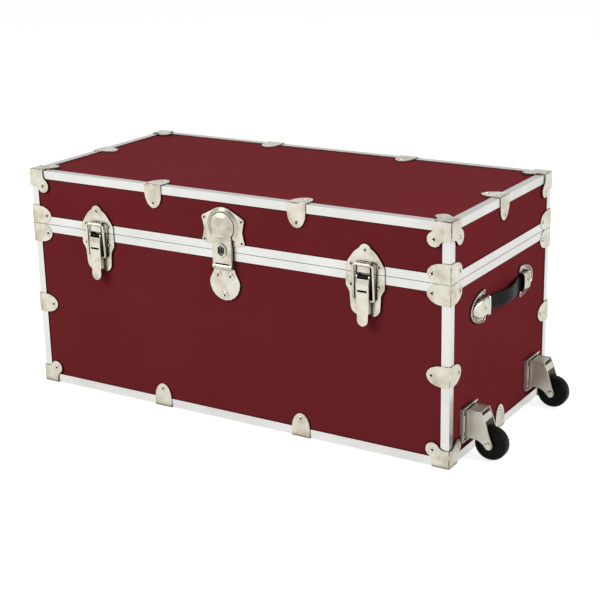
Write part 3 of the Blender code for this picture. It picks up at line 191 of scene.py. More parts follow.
def stand_off(tree, coords):
    """How far a point stands out of the boards' box along each axis."""
    steps = (
        ("SUBTRACT", (CX, CY, (PB + PT) / 2)),
        ("ABSOLUTE", None),
        ("SUBTRACT", (PX, PY, (PT - PB) / 2)),
    )
    for operation, other in steps:
        made = added(tree, "ShaderNodeVectorMath", {"operation": operation})
        feed(tree, coords, made.inputs[0])
        if other:
            made.inputs[1].default_value = other
        coords = made.outputs["Vector"]
    return parts_of(tree, coords)


def most_of(tree, parts):
    """The largest of the three, which is the height over the nearest board."""
    return worked(tree, "MAXIMUM", worked(tree, "MAXIMUM", parts["X"], parts["Y"]), parts["Z"])


def middle_of(tree, parts):
    """The second largest, which is above zero only on the bends round the box's edges."""
    pairs = (("X", "Y"), ("Y", "Z"), ("X", "Z"))
    xy, yz, xz = [worked(tree, "MINIMUM", parts[a], parts[b]) for a, b in pairs]
    return worked(tree, "MAXIMUM", worked(tree, "MAXIMUM", xy, yz), xz)


# Tones as the stops of a ramp
BLACK, WHITE = (0.0, 0.0, 0.0), (1.0, 1.0, 1.0)
BURGUNDY = [(0.25, (0.143, 0.0172, 0.0198)), (0.75, (0.158, 0.0198, 0.0228))]
PLYWOOD = [(0.3, (0.36, 0.22, 0.11)), (0.55, (0.52, 0.35, 0.19)), (0.75, (0.62, 0.44, 0.26))]
ALUMINIUM = [(0.3, (0.61, 0.61, 0.58)), (0.7, (0.70, 0.70, 0.68))]
WARM_NICKEL = [(0.33, (0.44, 0.40, 0.305)), (0.5, (0.59, 0.56, 0.462)), (0.67, (0.66, 0.64, 0.565))]
STREAKS = [(0.46, BLACK), (0.60, WHITE)]
GREY_ZINC = [(0.36, (0.53, 0.505, 0.435)), (0.64, (0.66, 0.637, 0.567))]
POLISHED = [(0.35, (0.66, 0.63, 0.55)), (0.65, (0.80, 0.78, 0.72))]
# near-black tones of the lock plug, painted shade of its deep recess
PLUG_SHADE_TONES = [(0.3, (0.035, 0.032, 0.028)), (0.7, (0.10, 0.094, 0.084))]
# near-black tones of the rivets' hollows, painted shade of deep holes
HOLLOW_PAINTED_SHADE = [(0.3, (0.003, 0.003, 0.003)), (0.7, (0.010, 0.009, 0.008))]
BLACK_HIDE = [(0.3, (0.004, 0.004, 0.0045)), (0.7, (0.009, 0.0085, 0.0085))]
DARK_THREAD = [(0.2, (0.012, 0.011, 0.011)), (0.8, (0.040, 0.036, 0.033))]
BLACK_RUBBER = [(0.3, (0.003, 0.003, 0.0033)), (0.75, (0.007, 0.007, 0.0075))]
PAPER = [(0.3, (0.42, 0.42, 0.42)), (0.7, (0.43, 0.43, 0.43))]
SURROUND = [(0.0, WHITE), (0.30, (0.9,) * 3), (0.55, (0.35,) * 3), (1.0, (0.22,) * 3)]

# Painted shade in crevices: how far it reaches in metres, and its stops
BOARD_CREVICE_SHADE = 0.004, [(0.45, (0.22, 0.20, 0.20)), (0.85, WHITE)]
TRIM_CREVICE_SHADE = 0.004, [(0.40, (0.05, 0.05, 0.05)), (0.80, WHITE)]
NICKEL_CREVICE_SHADE = 0.011, [(0.42, (0.02, 0.018, 0.016)), (0.88, WHITE)]
ZINC_CREVICE_SHADE = 0.007, [(0.42, (0.012, 0.011, 0.010)), (0.74, WHITE)]
# painted dark reflection, streaked on the bends of the clamps and corners
BEND_PAINTED_REFLECTION = (0.05, 0.045, 0.038, 1.0)
# painted shade on the latch lugs and pivot pins
PIVOT_PAINTED_SHADE = (0.022, 0.020, 0.018, 1.0)
TARNISH = 38.0, 6.0, 0.6                        # scale, detail and roughness of the nickel's clouds


# Finishes
def board_finish(name, axis, middle, inward):
    """Burgundy coated face outside, bare plywood on the side that faces into the trunk."""
    material, tree, shader = new_finish(name, Specular_IOR_Level=0.003)
    coords = rest_coords(tree)
    cloud = noise(tree, coords, 9.0, 4.0)
    along = (90.0, 6.0, 90.0) if axis == "X" else (6.0, 90.0, 90.0)
    stretch = added(tree, "ShaderNodeMapping", Scale=along)
    feed(tree, coords, stretch.inputs["Vector"])
    grain = noise(tree, stretch.outputs["Vector"], 1.6, 8.0, 0.62, Distortion=0.6)
    compare = "GREATER_THAN" if inward > 0 else "LESS_THAN"
    inside = worked(tree, compare, parts_of(tree, coords)[axis], middle)
    tone = mixed(tree, inside, ramp(tree, cloud, BURGUNDY), ramp(tree, grain, PLYWOOD))
    # painted shade darkens the boards where trims and hardware close them in
    feed(tree, painted_crevice_shade(tree, tone, *BOARD_CREVICE_SHADE), shader.inputs["Base Color"])
    feed(tree, level(tree, cloud, To_Min=0.52, To_Max=0.64), shader.inputs["Roughness"])
    fine = bump(tree, shader, noise(tree, coords, 1500.0, 2.0), 0.08, 0.0002)
    bump(tree, shader, cells(tree, coords, 720.0, "SMOOTH_F1"), 0.16, 0.0003, fine)
    return material


def nickel_tone(tree, coords, cloud, parts):
    """Warm nickel, yellower where it has tarnished, with painted shade in crevices and painted dark
    reflection streaks on bends.
    """
    # painted shade darkens the nickel in its crevices
    clean = painted_crevice_shade(tree, ramp(tree, cloud, WARM_NICKEL), *NICKEL_CREVICE_SHADE)
    # painted reflection: near-black streaks on the bends
    bend = level(tree, middle_of(tree, parts), From_Min=BEND[0] * MM, From_Max=BEND[1] * MM)
    streak = ramp(tree, noise(tree, coords, 70.0), STREAKS)
    return mixed(tree, worked(tree, "MULTIPLY", bend, streak), clean, BEND_PAINTED_REFLECTION)


def trim_finish(name):
    """Bright extruded aluminium with fine drawing marks, under nickelled edge clamps."""
    material, tree, shader = new_finish(name, Metallic=1.0)
    coords = rest_coords(tree)
    parts = stand_off(tree, coords)
    cloud = noise(tree, coords, 14.0, 5.0)
    tarnish = noise(tree, coords, *TARNISH)
    # painted shade darkens the aluminium in its crevices
    bright = painted_crevice_shade(tree, ramp(tree, cloud, ALUMINIUM), *TRIM_CREVICE_SHADE)
    clamp = nickel_tone(tree, coords, tarnish, parts)
    mask = worked(tree, "GREATER_THAN", most_of(tree, parts), CLAMP_STEP * MM)
    feed(tree, mixed(tree, mask, bright, clamp), shader.inputs["Base Color"])
    rough = added(tree, "ShaderNodeMix", {"data_type": "FLOAT"})
    feed(tree, mask, rough.inputs[0])
    feed(tree, level(tree, cloud, To_Min=0.24, To_Max=0.42), rough.inputs[FLOAT_A])
    feed(tree, level(tree, tarnish, To_Min=0.30, To_Max=0.14), rough.inputs[FLOAT_B])
    feed(tree, rough.outputs[0], shader.inputs["Roughness"])
    bump(tree, shader, noise(tree, coords, 600.0), 0.06, 0.0001)
    return material


def nickel_finish(name, dull, worn_smooth, shade_painted_above=None):
    """Nickelled steel: smoother where worn, duller where tarnished; painted near-black as shade above a
    height.
    """
    material, tree, shader = new_finish(name, Metallic=1.0)
    coords = rest_coords(tree)
    cloud = noise(tree, coords, *TARNISH)
    parts = stand_off(tree, coords)
    tone = nickel_tone(tree, coords, cloud, parts)
    # painted shade: everything above the height turns near-black
    if shade_painted_above:
        mask = worked(tree, "GREATER_THAN", most_of(tree, parts), shade_painted_above * MM)
        tone = mixed(tree, mask, tone, PIVOT_PAINTED_SHADE)
    feed(tree, tone, shader.inputs["Base Color"])
    feed(tree, level(tree, cloud, To_Min=dull, To_Max=worn_smooth), shader.inputs["Roughness"])
    bump(tree, shader, noise(tree, coords, 420.0, 4.0), 0.05, 0.0002)
    return material


def zinc_finish(name):
    """Zinc-plated pressings of the casters: satin and greyer, with a faint spangle."""
    material, tree, shader = new_finish(name, Metallic=0.6)
    coords = rest_coords(tree)
    tone = ramp(tree, noise(tree, coords, 30.0, 5.0, 0.6), GREY_ZINC)
    # painted shade darkens the zinc in its crevices
    feed(tree, painted_crevice_shade(tree, tone, *ZINC_CREVICE_SHADE), shader.inputs["Base Color"])
    spangle = level(tree, cells(tree, coords, 160.0), To_Min=0.28, To_Max=0.40)
    feed(tree, spangle, shader.inputs["Roughness"])
    bump(tree, shader, noise(tree, coords, 420.0, 4.0), 0.05, 0.0002)
    return material


def cloudy_finish(name, cloud, tones, roughness, fine=None, **inputs):
    """Two tones in clouds of (scale, detail), with a fine bump of (scale, strength, depth)."""
    material, tree, shader = new_finish(name, **inputs)
    coords = rest_coords(tree)
    patch = noise(tree, coords, *cloud)
    feed(tree, ramp(tree, patch, tones), shader.inputs["Base Color"])
    smooth, dull = roughness
    feed(tree, level(tree, patch, To_Min=smooth, To_Max=dull), shader.inputs["Roughness"])
    if fine:
        scale, strength, depth = fine
        bump(tree, shader, noise(tree, coords, scale), strength, depth)
    return material


def leather_finish(name):
    """Black harness leather: pebbled grain, waxed highlights, softer where hands rub."""
    material, tree, shader = new_finish(name, Specular_IOR_Level=0.06)
    coords = rest_coords(tree)
    warp = noise(tree, coords, 90.0, 4.0)
    feed(tree, ramp(tree, warp, BLACK_HIDE), shader.inputs["Base Color"])
    feed(tree, level(tree, warp, To_Min=0.34, To_Max=0.55), shader.inputs["Roughness"])
    crease = bump(tree, shader, warp, 0.25, 0.0006)
    bump(tree, shader, cells(tree, coords, 620.0, "SMOOTH_F1"), 0.4, 0.0005, crease)
    return material


def thread_finish(name):
    """Waxed dark thread."""
    material, tree, shader = new_finish(name, Roughness=0.6)
    twist = added(tree, "ShaderNodeTexWave", Scale=900.0, Distortion=1.5, Detail=2.0)
    feed(tree, rest_coords(tree), twist.inputs["Vector"])
    feed(tree, ramp(tree, twist.outputs["Fac"], DARK_THREAD), shader.inputs["Base Color"])
    bump(tree, shader, twist.outputs["Fac"], 0.5, 0.0002)
    return material


TRIM = trim_finish("aluminium_trim")
NICKEL = nickel_finish("nickelled_steel", 0.34, 0.20)
SATIN = nickel_finish("satin_nickel", 0.56, 0.44)
# latch plates whose lugs and pivot pins are painted near-black as shade
PIVOT = nickel_finish("nickel_with_painted_pivot_shade", 0.34, 0.20, PIVOT_STEP)
ZINC = zinc_finish("zinc_plate")
BRIGHT = cloudy_finish(
    "polished_rivet", (120.0, 4.0), POLISHED, (0.14, 0.28), (900.0, 0.04, 0.0001), Metallic=1.0
)
# the rivets' hollows, painted near-black as shade
HOLLOW = cloudy_finish("rivet_hollow_painted_shade", (300.0,), HOLLOW_PAINTED_SHADE, (0.5, 0.8), Metallic=0.6)
# the lock plug, painted near-black as the shade of its recess
PLUG = cloudy_finish(
    "lock_plug_painted_shade", (160.0, 4.0), PLUG_SHADE_TONES, (0.22, 0.40), (700.0, 0.05, 0.0001), Metallic=1.0
)
LEATHER = leather_finish("black_leather")
THREAD = thread_finish("waxed_thread")
RUBBER = cloudy_finish(
    "hard_rubber", (55.0, 5.0), BLACK_RUBBER, (0.28, 0.5), (900.0, 0.12, 0.0002), Specular_IOR_Level=0.07
)


# Modifiers that weld the imported facets, soften edges and shade by angle
SHARP = math.radians(38)            # steeper edges stay sharp in the shading
FLAT = math.radians(0.6)            # flatter facets are joined before the bevel
STEEP = math.radians(40)            # steeper edges are softened
TRIM_EDGE, METAL_EDGE = 0.35, 0.3   # widths of the softened edges in millimetres


def geometry_group(name):
    tree = bpy.data.node_groups.new(name, "GeometryNodeTree")
    tree.is_modifier = True
    tree.interface.new_socket("Geometry", in_out="INPUT", socket_type="NodeSocketGeometry")
    tree.interface.new_socket("Geometry", in_out="OUTPUT", socket_type="NodeSocketGeometry")
    return tree, tree.nodes.new("NodeGroupInput"), tree.nodes.new("NodeGroupOutput")


def chained(tree, *steps):
    """Pass the geometry from each node to the next."""
    for before, after in zip(steps, steps[1:]):
        tree.links.new(before.outputs[0], after.inputs[0])


def make_weld(name, reach):
    tree, start, end = geometry_group(name)
    bare = added(tree, "GeometryNodeRemoveAttribute", Name="custom_normal")
    weld = added(tree, "GeometryNodeMergeByDistance", Distance=reach)
    chained(tree, start, bare, weld, end)
    return tree


def make_shade():
    tree, start, end = geometry_group("shade_by_angle")
    faces = added(tree, "GeometryNodeSetShadeSmooth", {"domain": "FACE"})
    loose = added(tree, "GeometryNodeSetShadeSmooth", {"domain": "EDGE"})
    sharp = added(tree, "GeometryNodeSetShadeSmooth", {"domain": "EDGE"}, Shade_Smooth=False)
    angle = added(tree, "GeometryNodeInputMeshEdgeAngle")
    over = added(tree, "FunctionNodeCompare", {"data_type": "FLOAT", "operation": "GREATER_THAN"})
    feed(tree, angle.outputs[0], over.inputs[0])
    feed(tree, SHARP, over.inputs[1])
    feed(tree, over.outputs[0], sharp.inputs["Selection"])
    chained(tree, start, faces, loose, sharp, end)
    return tree


WELD = make_weld("weld_facets", 2e-6)
CLOSE = make_weld("weld_fine_steps", 6e-5)
SHADE = make_shade()


def shaded(obj):
    obj.modifiers.new("shade", "NODES").node_group = SHADE
    obj.modifiers.new("even", "WEIGHTED_NORMAL").keep_sharp = True


def dressed(name, material, edge=0.0):
    """Give a CAD node its finish, welded facets and, where asked, softened edges."""
    obj = nodes[name]
    for slot in obj.material_slots:
        slot.material = material
    fine_steps = "_corner_" in name or "trim" in name
    obj.modifiers.new("weld", "NODES").node_group = CLOSE if fine_steps else WELD
    if edge:
        flat = obj.modifiers.new("flat", "DECIMATE")
        flat.decimate_type = "DISSOLVE"
        flat.angle_limit = FLAT
        soft = obj.modifiers.new("soft", "BEVEL")
        soft.width = edge * MM
        soft.segments = 2
        soft.limit_method = "ANGLE"
        soft.angle_limit = STEEP
        soft.use_clamp_overlap = True
        obj.modifiers.new("join", "NODES").node_group = WELD
    shaded(obj)


REPLACED = ("handle_strap", "handle_cap", "latch_lever", "latch_link")
INWARD = {
    "front": ("Y", 1), "back": ("Y", -1), "left": ("X", 1), "right": ("X", -1),
    "bottom": ("Z", 1), "top": ("Z", -1),
}
METALS = (                          # the first start that fits a node's name counts
    ("lock_plug", PLUG), ("lock_hasp", SATIN), ("latch_plate", PIVOT), ("caster_", ZINC), ("", NICKEL),
)
for name in nodes:
    if name.startswith(REPLACED):
        continue
    if name.endswith("_panel"):
        axis, inward = INWARD[name.split("_")[1]]
        low, high = [corner["XYZ".index(axis)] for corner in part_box(name)]
        dressed(name, board_finish(name + "_finish", axis, (low + high) / 2, inward))
    elif "trim" in name:
        dressed(name, TRIM, TRIM_EDGE)
    elif name.startswith("caster_wheel"):
        dressed(name, RUBBER)
    else:
        dressed(name, next(metal for start, metal in METALS if name.startswith(start)), METAL_EDGE)


# Mesh helpers for the scene's own pieces; lengths in millimetres
def piece(name, bm, body, materials, replaced=None):
    bmesh.ops.recalc_face_normals(bm, faces=bm.faces)
    mesh = bpy.data.meshes.new(name)
    bm.to_mesh(mesh)
    bm.free()
    for material in materials:
        mesh.materials.append(material)
    obj = bpy.data.objects.new(name, mesh)
    bpy.context.scene.collection.objects.link(obj)
    shaded(obj)
    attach(obj, body)
    if replaced:
        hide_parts(replaced)


def moved(face, u, v, n=0.0):
    return face @ Matrix.Translation(Vector((u, v, n)) * MM)


def both(reach):
    return -reach, reach


def circle(radius, steps):
    turns = [2 * math.pi * i / steps for i in range(steps)]
    return [(radius * math.cos(a), radius * math.sin(a)) for a in turns]


def points_in(bm, place, points):
    return [bm.verts.new(place @ (Vector(point) * MM)) for point in points]


def bridge(bm, rings, paint=0):
    """Quads between closed rings of equal length; paint is the material's index."""
    for low, high in zip(rings, rings[1:]):
        for i in range(len(low)):
            j = (i + 1) % len(low)
            bm.faces.new((low[i], low[j], high[j], high[i])).material_index = paint


def tube(bm, rings, paint=0):
    """A closed body of rings with a face at each end."""
    bridge(bm, rings, paint)
    for end in (rings[0], rings[-1]):
        bm.faces.new(end).material_index = paint


def sheet(bm, outer, inner, holes=()):
    """A plate between two grids of rows, with its rim, and the holes' own walls."""
    rows, columns = len(outer), len(outer[0])
    for r in range(rows - 1):
        for c in range(columns - 1):
            if (r, c) not in holes:
                for grid in (outer, inner):
                    bm.faces.new((grid[r][c], grid[r][c + 1], grid[r + 1][c + 1], grid[r + 1][c]))
    walls = [((r, c), (r, c + 1)) for r in (0, rows - 1) for c in range(columns - 1)]
    walls += [((r, c), (r + 1, c)) for c in (0, columns - 1) for r in range(rows - 1)]
    for r, c in holes:
        near, right, far, diagonal = (r, c), (r, c + 1), (r + 1, c), (r + 1, c + 1)
        sides = ((near, right), (far, diagonal), (near, far), (right, diagonal))
        beyond = ((r - 1, c), (r + 1, c), (r, c - 1), (r, c + 1))
        walls += [side for side, other in zip(sides, beyond) if other not in holes]
    for (r, c), (p, q) in walls:
        bm.faces.new((outer[r][c], outer[p][q], inner[p][q], inner[r][c]))


def turned(bm, place, middle, profile, steps=20):
    """A round body about the u axis through middle (v, n); profile gives (u, radius)."""
    rings = []
    for u, radius in profile:
        ring = [(u, middle[0] + v, middle[1] + n) for v, n in circle(radius, steps)]
        rings.append(points_in(bm, place, ring))
    tube(bm, rings)


def rounded_path(points, reaches, steps=6):
    """A polyline whose inner corners turn on curves of the given reach."""
    points = [Vector(point) for point in points]
    path = [points[0]]
    for before, corner, after, reach in zip(points, points[1:], points[2:], reaches):
        start = corner + (before - corner).normalized() * reach
        end = corner + (after - corner).normalized() * reach
        for i in range(steps + 1):
            t = i / steps
            path.append(start.lerp(corner, t).lerp(corner.lerp(end, t), t))
    return path + [points[-1]]


def swept(bm, place, path, radius, sides=12):
    """A round wire along a path."""
    rings, side = [], Vector((0, 0, 1))
    for i, point in enumerate(path):
        ahead = (path[min(i + 1, len(path) - 1)] - path[max(i - 1, 0)]).normalized()
        side = (side - ahead * side.dot(ahead)).normalized()
        other = ahead.cross(side)
        ring = [point + side * a + other * b for a, b in circle(radius, sides)]
        rings.append(points_in(bm, place, ring))
    tube(bm, rings)


# Rivets: tubular, with a rolled rim round a shallow hollow painted near-black as shade
RIM = ((1.0, -0.10), (1.0, 0.14), (0.95, 0.27), (0.84, 0.34), (0.72, 0.32), (0.64, 0.20), (0.60, 0.06))
RIM_END, RIM_STEPS = 5, 16              # the last ring of the rim, and the points in a ring


def rivet(bm, place, radius):
    """One rivet standing on place's (u, v) plane, with its hollow, painted near-black as shade, in the
    second material.
    """
    rings = []
    for share, height in RIM:
        ring = [(u, v, height * radius) for u, v in circle(share * radius, RIM_STEPS)]
        rings.append(points_in(bm, place, ring))
    bridge(bm, rings[:RIM_END + 1])
    bridge(bm, rings[RIM_END:], paint=1)
    bm.faces.new(rings[-1]).material_index = 1
    bm.faces.new(rings[0])


def rivets(name, body, spots):
    """A piece of many rivets: (face, u, v, height of the seat, radius) in millimetres."""
    bm = bmesh.new()
    for face, u, v, n, radius in spots:
        rivet(bm, moved(face, u, v, n), radius)
    piece(name, bm, body, [BRIGHT, HOLLOW])


# Where rivets sit: N is the height of the seat and R the radius
px, py = PX / MM, PY / MM
low_edge, high_edge = (PB - SEAM) / MM, (PT - SEAM) / MM
WALLS = ((FRONT, px), (BACK, px), (LEFT, py), (RIGHT, py))
LONG_X, CLAMP_R = 139.0, 3.3            # clamps of the long edges, from the middle
LEAF, LEAF_N = 28.4, 2.45               # rivet of a clamp's leaf, from the box's edge
EAR, EAR_N = 25.0, 3.92                 # rivet of a corner's ear, from the box's edge
SEAM_BASE, SEAM_LID = -16.0, 15.0       # rivets of the clamps beside the seam
PLATE_N = 3.55
LATCH_U, LATCH_R = px - 141.4, 3.0
LATCH_LID = ((0.0, 36.5), (-24.5, 12.5), (24.5, 12.5))
LATCH_BASE = ((-24.5, -20.0), (24.5, -20.0))
LOCK_R, SHIELD_N = 2.9, 4.85
LOCK_LID = ((-36.0, 53.0), (-36.0, 17.0), (36.0, 53.0), (36.0, 17.0))
LOCK_BASE = ((-12.0, -41.0), (12.0, -41.0), (0.0, -74.0))
HANDLE_V, CAP_N = -64.0, 1.6
CAP_SPOTS = (                           # (u, v, n, radius) from the handle's middle
    (75.0, -20.0, CAP_N, 2.6), (73.5, 18.0, CAP_N, 2.8), (114.4, 0.0, CAP_N, 2.0), (81.5, 0.0, 10.9, 2.9),
)
SCREWS, SCREW_R = 18, 2.3
HINGE_HALF, HINGE_V, HINGE_N = 350.0, 9.4, 3.55

base_spots, lid_spots = [], []
for spots, edge, inward, flat in ((base_spots, low_edge, 1, UNDER), (lid_spots, high_edge, -1, TOP)):
    leaf_v, ear_v = edge + inward * LEAF, edge + inward * EAR
    spots += [(face, u, leaf_v, LEAF_N, CLAMP_R) for face in (FRONT, BACK) for u in both(LONG_X)]
    spots += [(face, 0, leaf_v, LEAF_N, CLAMP_R) for face in (LEFT, RIGHT)]
    spots += [(flat, u, v, LEAF_N, CLAMP_R) for u in both(LONG_X) for v in both(py - LEAF)]
    spots += [(flat, u, 0, LEAF_N, CLAMP_R) for u in both(px - LEAF)]
    spots += [(face, u, ear_v, EAR_N, CLAMP_R) for face, half in WALLS for u in both(half - EAR)]
# The ears under the base stay bare, because they are what the trunk stands on
lid_spots += [(TOP, u, v, EAR_N, CLAMP_R) for u in both(px - EAR) for v in both(py - EAR)]
for face, half in WALLS:
    for u in both(half - LEAF):
        base_spots += [(face, u, v, LEAF_N, CLAMP_R) for v in (low_edge / 2, SEAM_BASE)]
        lid_spots.append((face, u, SEAM_LID, LEAF_N, CLAMP_R))
for middle in both(LATCH_U):
    lid_spots += [(FRONT, middle + u, v, PLATE_N, LATCH_R) for u, v in LATCH_LID]
    base_spots += [(FRONT, middle + u, v, PLATE_N, LATCH_R) for u, v in LATCH_BASE]
lid_spots += [(FRONT, u, v, PLATE_N, LOCK_R) for u, v in LOCK_LID]
base_spots += [(FRONT, u, v, SHIELD_N, LOCK_R) for u, v in LOCK_BASE]
for face in (LEFT, RIGHT):
    for hand in (-1, 1):
        base_spots += [(face, hand * u, HANDLE_V + hand * v, n, r) for u, v, n, r in CAP_SPOTS]
for k in range(SCREWS):
    u = HINGE_HALF * (2 * k + 1 - SCREWS) / SCREWS
    base_spots.append((BACK, u, -HINGE_V, HINGE_N, SCREW_R))
    lid_spots.append((BACK, u, HINGE_V, HINGE_N, SCREW_R))
rivets("base_rivets", "base", base_spots)
rivets("lid_rivets", "lid", lid_spots)


# Draw latches: a folded lever with a low nose and a thumb tongue, and a wire bail that pivots on it.
# Points are (v, n) or (u, v, n) from the latch's middle on the seam
LEVER_HALF, LEVER_SKIN, LEVER_ROLL = 11.6, 1.5, 1.6
LEVER_PIVOT, BAIL_PIVOT = (-5.0, 8.0), (-42.0, 8.0)
LEVER_LINE = ((0.0, 11.9), (-5.5, 12.0), (-10.0, 12.55), (-14.5, 13.75), (-18.0, 13.95), (-90.0, 13.6))
LEVER_END = -62.0
PAD = 0.7                               # how far the pad below the slot is raised
LEVER_ROWS = (
    (-7.4, 0), (-8.2, 0), (-10.0, 0), (-14.5, 0), (-18.0, 0), (-24.8, 0), (-28.2, 0), (-31.0, 0),
    (-32.5, PAD), (-56.5, PAD), (-58.0, 0), (LEVER_END, 0),
)
CHEEK_FOOT, TOE_FOOT, TOE_V = 4.6, 6.0, -58.0
SLOT_HALF, SLOT = 8.45, ((5, 4), (5, 5))    # half width, and the cells of the grid that are left open
TONGUE_ROWS = (-56.5, LEVER_END, -65, -68, -71, -74, -76.5, -78.5, -80.2, -81.5, -82.3, -82.5)
TONGUE_HALF = 9.6
ROUND_V, ROUND_REACH = -72.5, 10.0      # where the tongue's round end starts, and how far it runs
TONGUE_SINK, UPTURN = 0.15, 0.8
ROLLED, CROWN = (0.4, 0.35), 0.25       # width and drop of the tongue's edges, and its rise in the middle
EYE = ((-LEVER_SKIN, 3.75), (-0.15, 3.75), (0, 3.6), (0, 2.4), (0.6, 2.2), (0.8, 1.5))
COLLAR = ((-0.2, 3.2), (0.9, 3.2), (1.1, 3.0))
BAIL_U, BAIL_R, BAIL_TOP = 17.4, 2.0, (15.4, 11.0)
BAIL_STUB, BAIL_BENDS = LEVER_HALF - 1.2, (3.6, 6.0, 6.0, 3.6)


def lever_face(v):
    """Height of the lever's face, which is low at the pivot so that it clears the catch when open."""
    for (high_v, high_n), (low_v, low_n) in zip(LEVER_LINE, LEVER_LINE[1:]):
        if v >= low_v:
            return low_n + (high_n - low_n) * (v - low_v) / (high_v - low_v)


def lever_channel(bm, place):
    """Cheeks and face in one folded sheet, with a slot and a raised pad."""
    w, t, roll = LEVER_HALF, LEVER_SKIN, LEVER_ROLL
    outer, inner = [], []
    for v, lift in LEVER_ROWS:
        n = lever_face(v)
        foot = CHEEK_FOOT if v > TOE_V else TOE_FOOT
        over = [
            (w, foot), (w, n - roll), (w - 0.3 * roll, n - 0.3 * roll), (w - roll, n),
            (SLOT_HALF, n + lift),
        ]
        under = [
            (w - t, foot), (w - t, n - roll - 0.3), (w - t - 0.1, n - t - 0.1), (w - t - 0.3, n - t),
            (SLOT_HALF, n - t),
        ]
        for grid, side, top in ((outer, over, n + lift), (inner, under, n - t)):
            ring = [(u, v, h) for u, h in side] + [(0, v, top)] + [(-u, v, h) for u, h in reversed(side)]
            grid.append(points_in(bm, place, ring))
    sheet(bm, outer, inner, SLOT)


def lever_tongue(bm, place):
    """The thumb tongue: crowned, round at its end and turned up a little."""
    outer, inner = [], []
    rest = lever_face(LEVER_END) - TONGUE_SINK
    for v in TONGUE_ROWS:
        n = rest + UPTURN * (max(0.0, LEVER_END - v) / (LEVER_END - TONGUE_ROWS[-1])) ** 2
        half = TONGUE_HALF
        if v <= ROUND_V:
            half = half * math.sqrt(max(0.004, 1 - ((v - ROUND_V) / ROUND_REACH) ** 2))
        across = ((half, ROLLED[1]), (half - min(ROLLED[0], half / 4), 0), (0, -CROWN))
        across = across + tuple((-u, drop) for u, drop in reversed(across[:2]))
        outer.append(points_in(bm, place, [(u, v, n - drop) for u, drop in across]))
        inner.append(points_in(bm, place, [(u, v, n - LEVER_SKIN + drop) for u, drop in across]))
    sheet(bm, outer, inner)


def make_lever(place, label):
    bm = bmesh.new()
    lever_channel(bm, place)
    lever_tongue(bm, place)
    for hand in (-1, 1):
        turned(bm, place, LEVER_PIVOT, [(hand * (LEVER_HALF + u), r) for u, r in EYE])
        turned(bm, place, BAIL_PIVOT, [(hand * (LEVER_HALF + u), r) for u, r in COLLAR])
    piece(f"draw_lever_{label}", bm, f"latch_lever_{label}", [NICKEL], f"latch_lever_{label}")


def make_bail(place, label):
    bm = bmesh.new()
    half = [(BAIL_STUB, *BAIL_PIVOT), (BAIL_U, *BAIL_PIVOT), (BAIL_U, *BAIL_TOP)]
    path = half + [(-u, v, n) for u, v, n in reversed(half)]
    swept(bm, place, rounded_path(path, BAIL_BENDS), BAIL_R)
    piece(f"draw_bail_{label}", bm, f"latch_link_{label}", [NICKEL], f"latch_link_{label}")


for side, label in ((-1, "left"), (1, "right")):
    make_lever(moved(FRONT, side * LATCH_U, 0), label)
    make_bail(moved(FRONT, side * LATCH_U, 0), label)


# Strap caps: a crescent plate with a raised rim and beads, and a ribbed, domed pocket over the strap's
# end. Points are (u, v) from the handle's middle
CAP_U, CAP_BOW = 68.5, (50.5, 26.5)     # the bow's centre and half axes
LOBE, LOBE_R = (73.5, -18.0), 8.6
CAP_SIDE = ((69.0, -11.0), (69.0, 11.0))
CAP_RIM = ((0, 0.3), (0, 2.6), (0.35, 3.3), (1.1, 3.4), (1.7, 2.9), (2.2, CAP_N))    # (inset, n)
UNDER_STRAP = 2.3                       # the rim stays below this on the side that the strap crosses
CAP_SKIN = (                            # (u, half width, height) along the pocket
    (66.0, 16.2, 11.9), (66.7, 16.5, 12.2), (68.2, 16.0, 11.7), (69.4, 15.0, 10.5), (73.0, 15.0, 10.5),
    (86.5, 15.0, 10.5), (87.6, 15.6, 11.3), (89.6, 15.6, 11.3), (90.8, 14.6, 9.9), (92.6, 13.9, 9.0),
    (93.8, 14.2, 9.8), (95.8, 13.9, 9.6), (97.2, 12.9, 8.3), (100.0, 11.9, 7.4), (103.2, 10.3, 6.3),
    (106.3, 8.2, 4.9), (108.6, 5.8, 3.5), (110.0, 3.4, 2.4),
)
CAP_HOLLOW = ((66.0, 14.4, 10.0), (70.0, 13.6, 9.1), (88.0, 13.6, 9.1))
SKIN_FOOT, HOLLOW_FOOT = 1.0, 2.2
BEADS, BEAD_R, BEAD_BOW, BEAD_ARC = 12, 1.25, (45.6, 21.8), (38, 142)


def cap_outline():
    bow = [math.radians(7.5 * i) for i in range(23)]
    lobe = [math.radians(-65 - 12.5 * i) for i in range(13)]
    outline = [(CAP_U + CAP_BOW[0] * math.sin(a), CAP_BOW[1] * math.cos(a)) for a in bow]
    outline += [(LOBE[0] + LOBE_R * math.cos(a), LOBE[1] + LOBE_R * math.sin(a)) for a in lobe]
    return outline + list(CAP_SIDE)


def inset(outline, reach):
    """The outline drawn in, for one that runs clockwise."""
    made = []
    for i, (u, v) in enumerate(outline):
        before, after = outline[i - 1], outline[(i + 1) % len(outline)]
        along = Vector((after[0] - before[0], after[1] - before[1])).normalized()
        made.append((u + along.y * reach, v - along.x * reach))
    return made


def arch(half, top, foot):
    """A round-shouldered arch of (v, n) over half on each side."""
    roll = min(4.5, 0.8 * (top - foot), 0.8 * half)
    turns = [math.radians(22.5 * i) for i in range(5)]
    side = [(half, foot)]
    side += [(half - roll + roll * math.cos(a), top - roll + roll * math.sin(a)) for a in turns]
    side += [((half - roll) / 2, top + 0.2)]
    return side + [(0, top + 0.3)] + [(-v, n) for v, n in reversed(side)]


